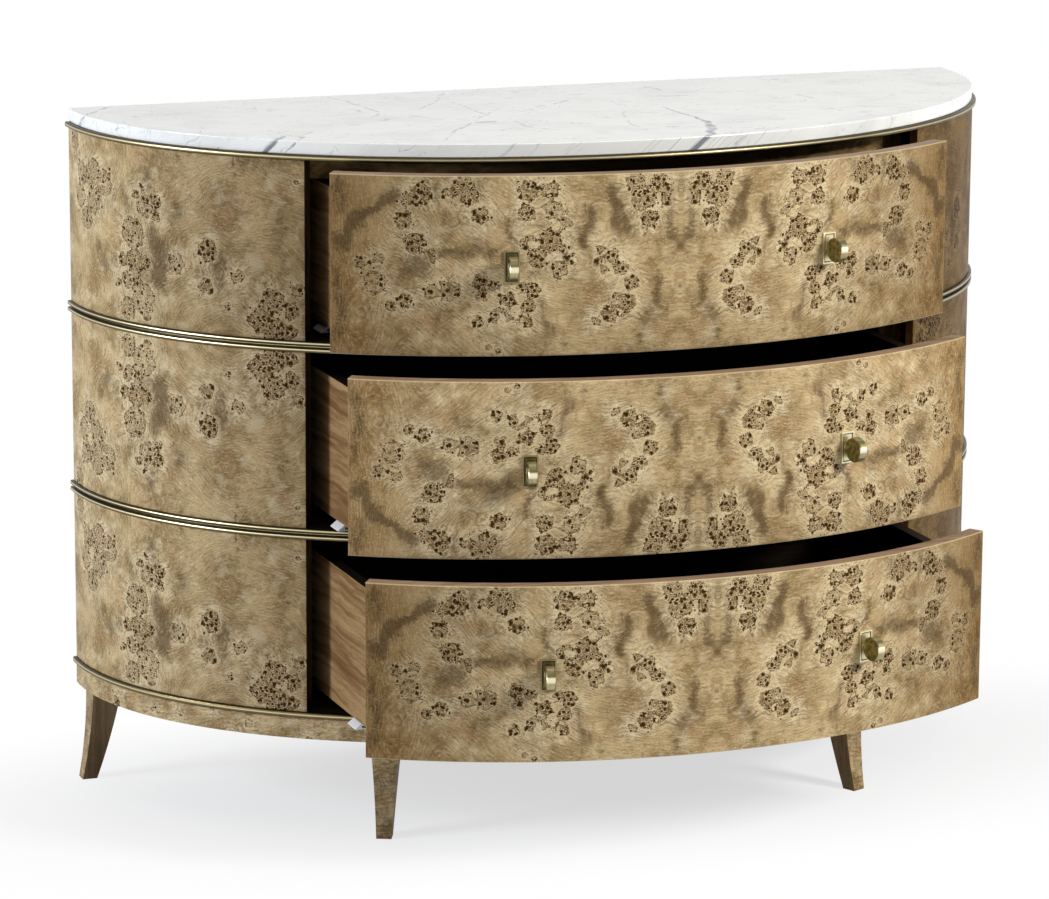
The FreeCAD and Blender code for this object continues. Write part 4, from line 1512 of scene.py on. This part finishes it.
@dataclass
class Case:
    """The fixed case: frame, boards, back, apron, legs, beads and top."""

    # Dark lines: polish residue and painted shade at each bead's edges and between a pair; bright lines:
    # partly wear, partly painted highlight.
    bead_groove: float = 0.0012
    bead_rub_glint: float = 0.0008
    single_rub_glints: Row = (0.42,)
    pair_grooves: Row = (0.3, 0.6)
    pair_rub_glints: Row = (0.15, 0.46, 0.74)

    def dress(self, dark: Dict[Axis, Material], brown: Material, rail_painted_light: Material,
              apron: Material, leg: Material, steel: Material,
              stone: Material) -> None:
        """Dress everything but the beads.

        Args:
            dark: Dark-stained wood by the direction of its grain, dark enough to stand in for the shade
                inside the case (painted shade).
            brown: Brown wood of the stiles.
            rail_painted_light: Wood of the top cross member, painted lighter to make up for the shade under
                the top (painted light).
            apron: The apron's veneer.
            leg: The legs' material.
            steel: The runners' and bolts' steel.
            stone: The top's marble.
        """
        for side in Side:
            dress_node(side.word + "_stile", brown)
            dress_node(side.word + "_partition", dark[Axis.ALONG_Y])
            for end in ("front", "back"):
                dress_node("%s_%s_leg" % (end, side.word), leg)
        dress_node("top_rail", rail_painted_light)
        for name in ("top_board", "upper_divider", "lower_divider", "bottom_board",
                     "apron_back_rail", "leg_blocks", "back_panel"):
            dress_node(name, dark[Axis.ALONG_X])
        dress_node("apron", apron)
        dress_node("leg_bolts", steel)
        dress_node("cabinet_runners", steel)
        dress_node("marble_top", stone)

    def dress_beads(self, brass: Brass) -> None:
        """Dress the four brass beads, with dark lines of polish residue and painted shade at their edges and
        where their lines meet, and bright lines that are partly wear and partly painted highlight.

        Args:
            brass: The beads' finish.
        """
        for name in ("top_bead", "upper_bead", "lower_bead", "bottom_bead"):
            low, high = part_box(name)
            tall = high.z - low.z
            pair = name in ("upper_bead", "lower_bead")
            # Painted shade and polish residue at the bead's top and bottom, where it meets its neighbours.
            grooves = (1.0, 0.0) + (self.pair_grooves if pair else ())
            rubs = self.pair_rub_glints if pair else self.single_rub_glints
            dress_node(name, brass.material(
                name + "_brass",
                [(high.z - share * tall, self.bead_groove) for share in grooves],
                [(high.z - share * tall, self.bead_rub_glint) for share in rubs],
            ))


class Lamp(NamedTuple):
    """A square soft lamp: where it hangs, what it points at, its side in metres, its watts and its hue."""

    name: str
    spot: Triple
    aim: Triple
    size: float
    power: float
    hue: Triple = (1.0, 1.0, 1.0)


@dataclass
class Studio:
    """Pale floor, soft lamps and the camera."""

    eye: Triple = (-2.1168, -5.3759, 1.7397)
    yaw: float = 0.3557
    pitch: float = 0.2181
    roll: float = 0.0056
    lens: float = 162.28
    sensor: float = 36.0
    sight: float = 200.0
    floor_half: float = 30.0
    shadow_share: float = 0.34
    shadow_reach: Pair = (0.12, 0.5)
    shadow_shape: Triple = (0.42, 1.0, 1.0)
    shadow_middle: Triple = (0.0, 0.15, 0.0)
    ambient: float = 0.03
    paint: Pair = (0.86, 0.9)
    lamps: Tuple[Lamp, ...] = (
        Lamp("key_lamp", (2.6, -3.15, 2.75), (0.0, -0.1, 0.45), 1.0, 200.0),
        Lamp("left_lamp", (-3.6, 0.05, 1.5), (-0.3, 0.0, 0.45), 1.1, 88.0, (0.94, 1.0, 1.12)),
        Lamp("top_lamp", (0.2, -0.4, 3.4), (0.0, 0.0, 0.5), 3.0, 29.0),
    )

    def build(self) -> None:
        """Make the floor, the world, the lamps and the camera."""
        self.floor()
        self.world()
        for lamp in self.lamps:
            self.hang(lamp)
        self.camera()

    def camera(self) -> None:
        """Set the camera where the photograph was taken from."""
        flat = math.cos(self.pitch)
        ahead = Vector((math.sin(self.yaw) * flat, math.cos(self.yaw) * flat, -math.sin(self.pitch)))
        level = Vector((math.cos(self.yaw), -math.sin(self.yaw), 0.0))
        above = level.cross(ahead)
        right = level * math.cos(self.roll) + above * math.sin(self.roll)
        up = above * math.cos(self.roll) - level * math.sin(self.roll)
        data = bpy.data.cameras.new("camera")
        data.lens = self.lens
        data.sensor_width = self.sensor
        data.sensor_fit = "HORIZONTAL"
        data.clip_end = self.sight
        made = set_out("camera", data)
        made.matrix_world = Matrix.Translation(self.eye) @ Matrix((right, up, -ahead)).transposed().to_4x4()
        bpy.context.scene.camera = made

    def hang(self, lamp: Lamp) -> None:
        """Hang one soft lamp.

        Args:
            lamp: The lamp's place, size and light.
        """
        data = bpy.data.lights.new(lamp.name, "AREA")
        data.shape = "SQUARE"
        data.size = lamp.size
        data.energy = lamp.power
        data.color = lamp.hue
        turn = (Vector(lamp.aim) - Vector(lamp.spot)).to_track_quat("-Z", "Y")
        set_out(lamp.name, data).matrix_world = Matrix.Translation(lamp.spot) @ turn.to_matrix().to_4x4()

    def seen(self, graph: Graph) -> Socket:
        """Tell the rays that see the studio from those that carry its light.

        Args:
            graph: The graph that the nodes go into.

        Returns:
            1 for rays from the camera, off metal or through glass, and 0 for the rest.
        """
        path = graph.add("ShaderNodeLightPath").outputs
        shine = graph.sum("MAXIMUM", path["Is Glossy Ray"], path["Is Transmission Ray"])
        return graph.sum("MAXIMUM", path["Is Camera Ray"], shine)

    def world(self) -> None:
        """White to the eye and an even, weaker light on the object."""
        made = bpy.data.worlds.new("studio")
        graph = blank(made)
        end = graph.add("ShaderNodeOutputWorld")
        span = graph.line(self.seen(graph), 1.0 - self.ambient, self.ambient)
        sky = graph.add("ShaderNodeBackground", {"Color": (1.0, 1.0, 1.0, 1.0), "Strength": span})
        graph.feed(end.inputs["Surface"], sky.outputs[0])
        bpy.context.scene.world = made

    def floor(self) -> None:
        """A pale floor that fades to white and keeps the shadow."""
        half = self.floor_half
        mesh = bpy.data.meshes.new("floor")
        corners = [(-half, -half, 0), (half, -half, 0), (half, half, 0), (-half, half, 0)]
        mesh.from_pydata(corners, [], [(0, 1, 2, 3)])
        made = set_out("floor", mesh)
        skin = bpy.data.materials.new("floor_paint")
        graph = blank(skin)
        end = graph.add("ShaderNodeOutputMaterial")
        place = graph.add("ShaderNodeTexCoord").outputs["Object"]
        greys = ((level, level, level, 1.0) for level in self.paint)
        paint = graph.mix(graph.noise(place, 40.0, 3.0), *greys)
        matt = graph.add("ShaderNodeBsdfDiffuse", {"Color": paint})
        glow = graph.add("ShaderNodeEmission", {"Color": (1.0, 1.0, 1.0, 1.0), "Strength": 1.0})
        beside = graph.arrow("SUBTRACT", place, self.shadow_middle)
        away = graph.arrow("LENGTH", graph.arrow("MULTIPLY", beside, self.shadow_shape))
        reach = graph.smooth(away, *self.shadow_reach)
        bare = graph.line(reach, self.shadow_share, 1.0 - self.shadow_share)
        share = graph.times(self.seen(graph), bare)
        both = graph.add("ShaderNodeMixShader", {0: share, 1: matt.outputs[0], 2: glow.outputs[0]})
        graph.feed(end.inputs["Surface"], both.outputs[0])
        mesh.materials.append(skin)


def main() -> None:
    """Build the chest piece by piece, then the studio round it."""
    logging.basicConfig(level=logging.INFO, format="%(name)s: %(message)s")
    bpy.context.scene.view_settings.view_transform = "Standard"
    oval = Oval()
    effects = Effects()
    # Dark-stained wood for the insides, dark enough to stand in for the shade inside the case and the drawers
    # (painted shade).
    stain = BoardWood(effects, tint(32, 23, 14), tint(14, 9, 5), tint(22, 15, 9))
    brown = BoardWood(effects, tint(92, 70, 42), tint(50, 35, 18), tint(38, 25, 12))
    tan = DrawerSideWood(effects, tint(158, 128, 88), tint(108, 79, 47), tint(94, 60, 34), stain=stain)
    # Top cross member's wood, painted lighter than the stiles to make up for the shade under the top (painted
    # light).
    rail_painted_light = BoardWood(effects, tint(196, 162, 108), tint(140, 110, 66), tint(110, 82, 46))
    lipping = BoardWood(effects, tint(158, 132, 106), tint(122, 98, 76), tint(134, 110, 90))
    trim_brass = Brass(effects, tint(112, 98, 66), tint(76, 63, 39), 0.5, tint(214, 202, 164))
    plate_brass = PlateBrass(effects, tint(226, 215, 178), tint(184, 172, 132), 0.6)
    knob_brass = KnobBrass(effects, tint(176, 166, 128), tint(136, 126, 90), 0.5)
    edge = lipping.material("lipping", Axis.ALONG_X)
    dark = {axis: stain.material("dark_wood_" + axis.name.lower(), axis) for axis in Axis}
    stile_wood = brown.material("stile_wood", Axis.ALONG_Z)
    rail_wood_painted_light = rail_painted_light.material("rail_wood_painted_light", Axis.ALONG_X)
    steel = Moulded(tint(186, 188, 190), tint(140, 142, 145), 1.0, 0.34).material("runner_steel")
    clip = Moulded(tint(238, 238, 234), tint(214, 214, 210)).material("clip_plastic")
    wood = tan.material("drawer_side_wood", Axis.ALONG_Y)
    sheet_skins = (BurlVeneer(effects).material("burl_veneer"), edge, dark[Axis.ALONG_X])
    for tier in Tier:
        drawer = Drawer(tier, oval)
        drawer.build(sheet_skins)
        drawer.dress(wood, dark[Axis.ALONG_X], plate_brass, knob_brass, steel, clip)
        for side in Side:
            SidePanel(tier, side, oval).build((sheet_skins[0], edge, dark[Axis.ALONG_Z]))
    case = Case()
    case.dress(
        dark, stile_wood, rail_wood_painted_light, LooseVeneer(effects, oval=oval).material("apron_veneer"),
        LegWood(effects, oval=oval).material("leg_wood"), steel, Marble(effects).material("white_marble"),
    )
    case.dress_beads(trim_brass)
    Studio().build()


if __name__ == "__main__":
    main()
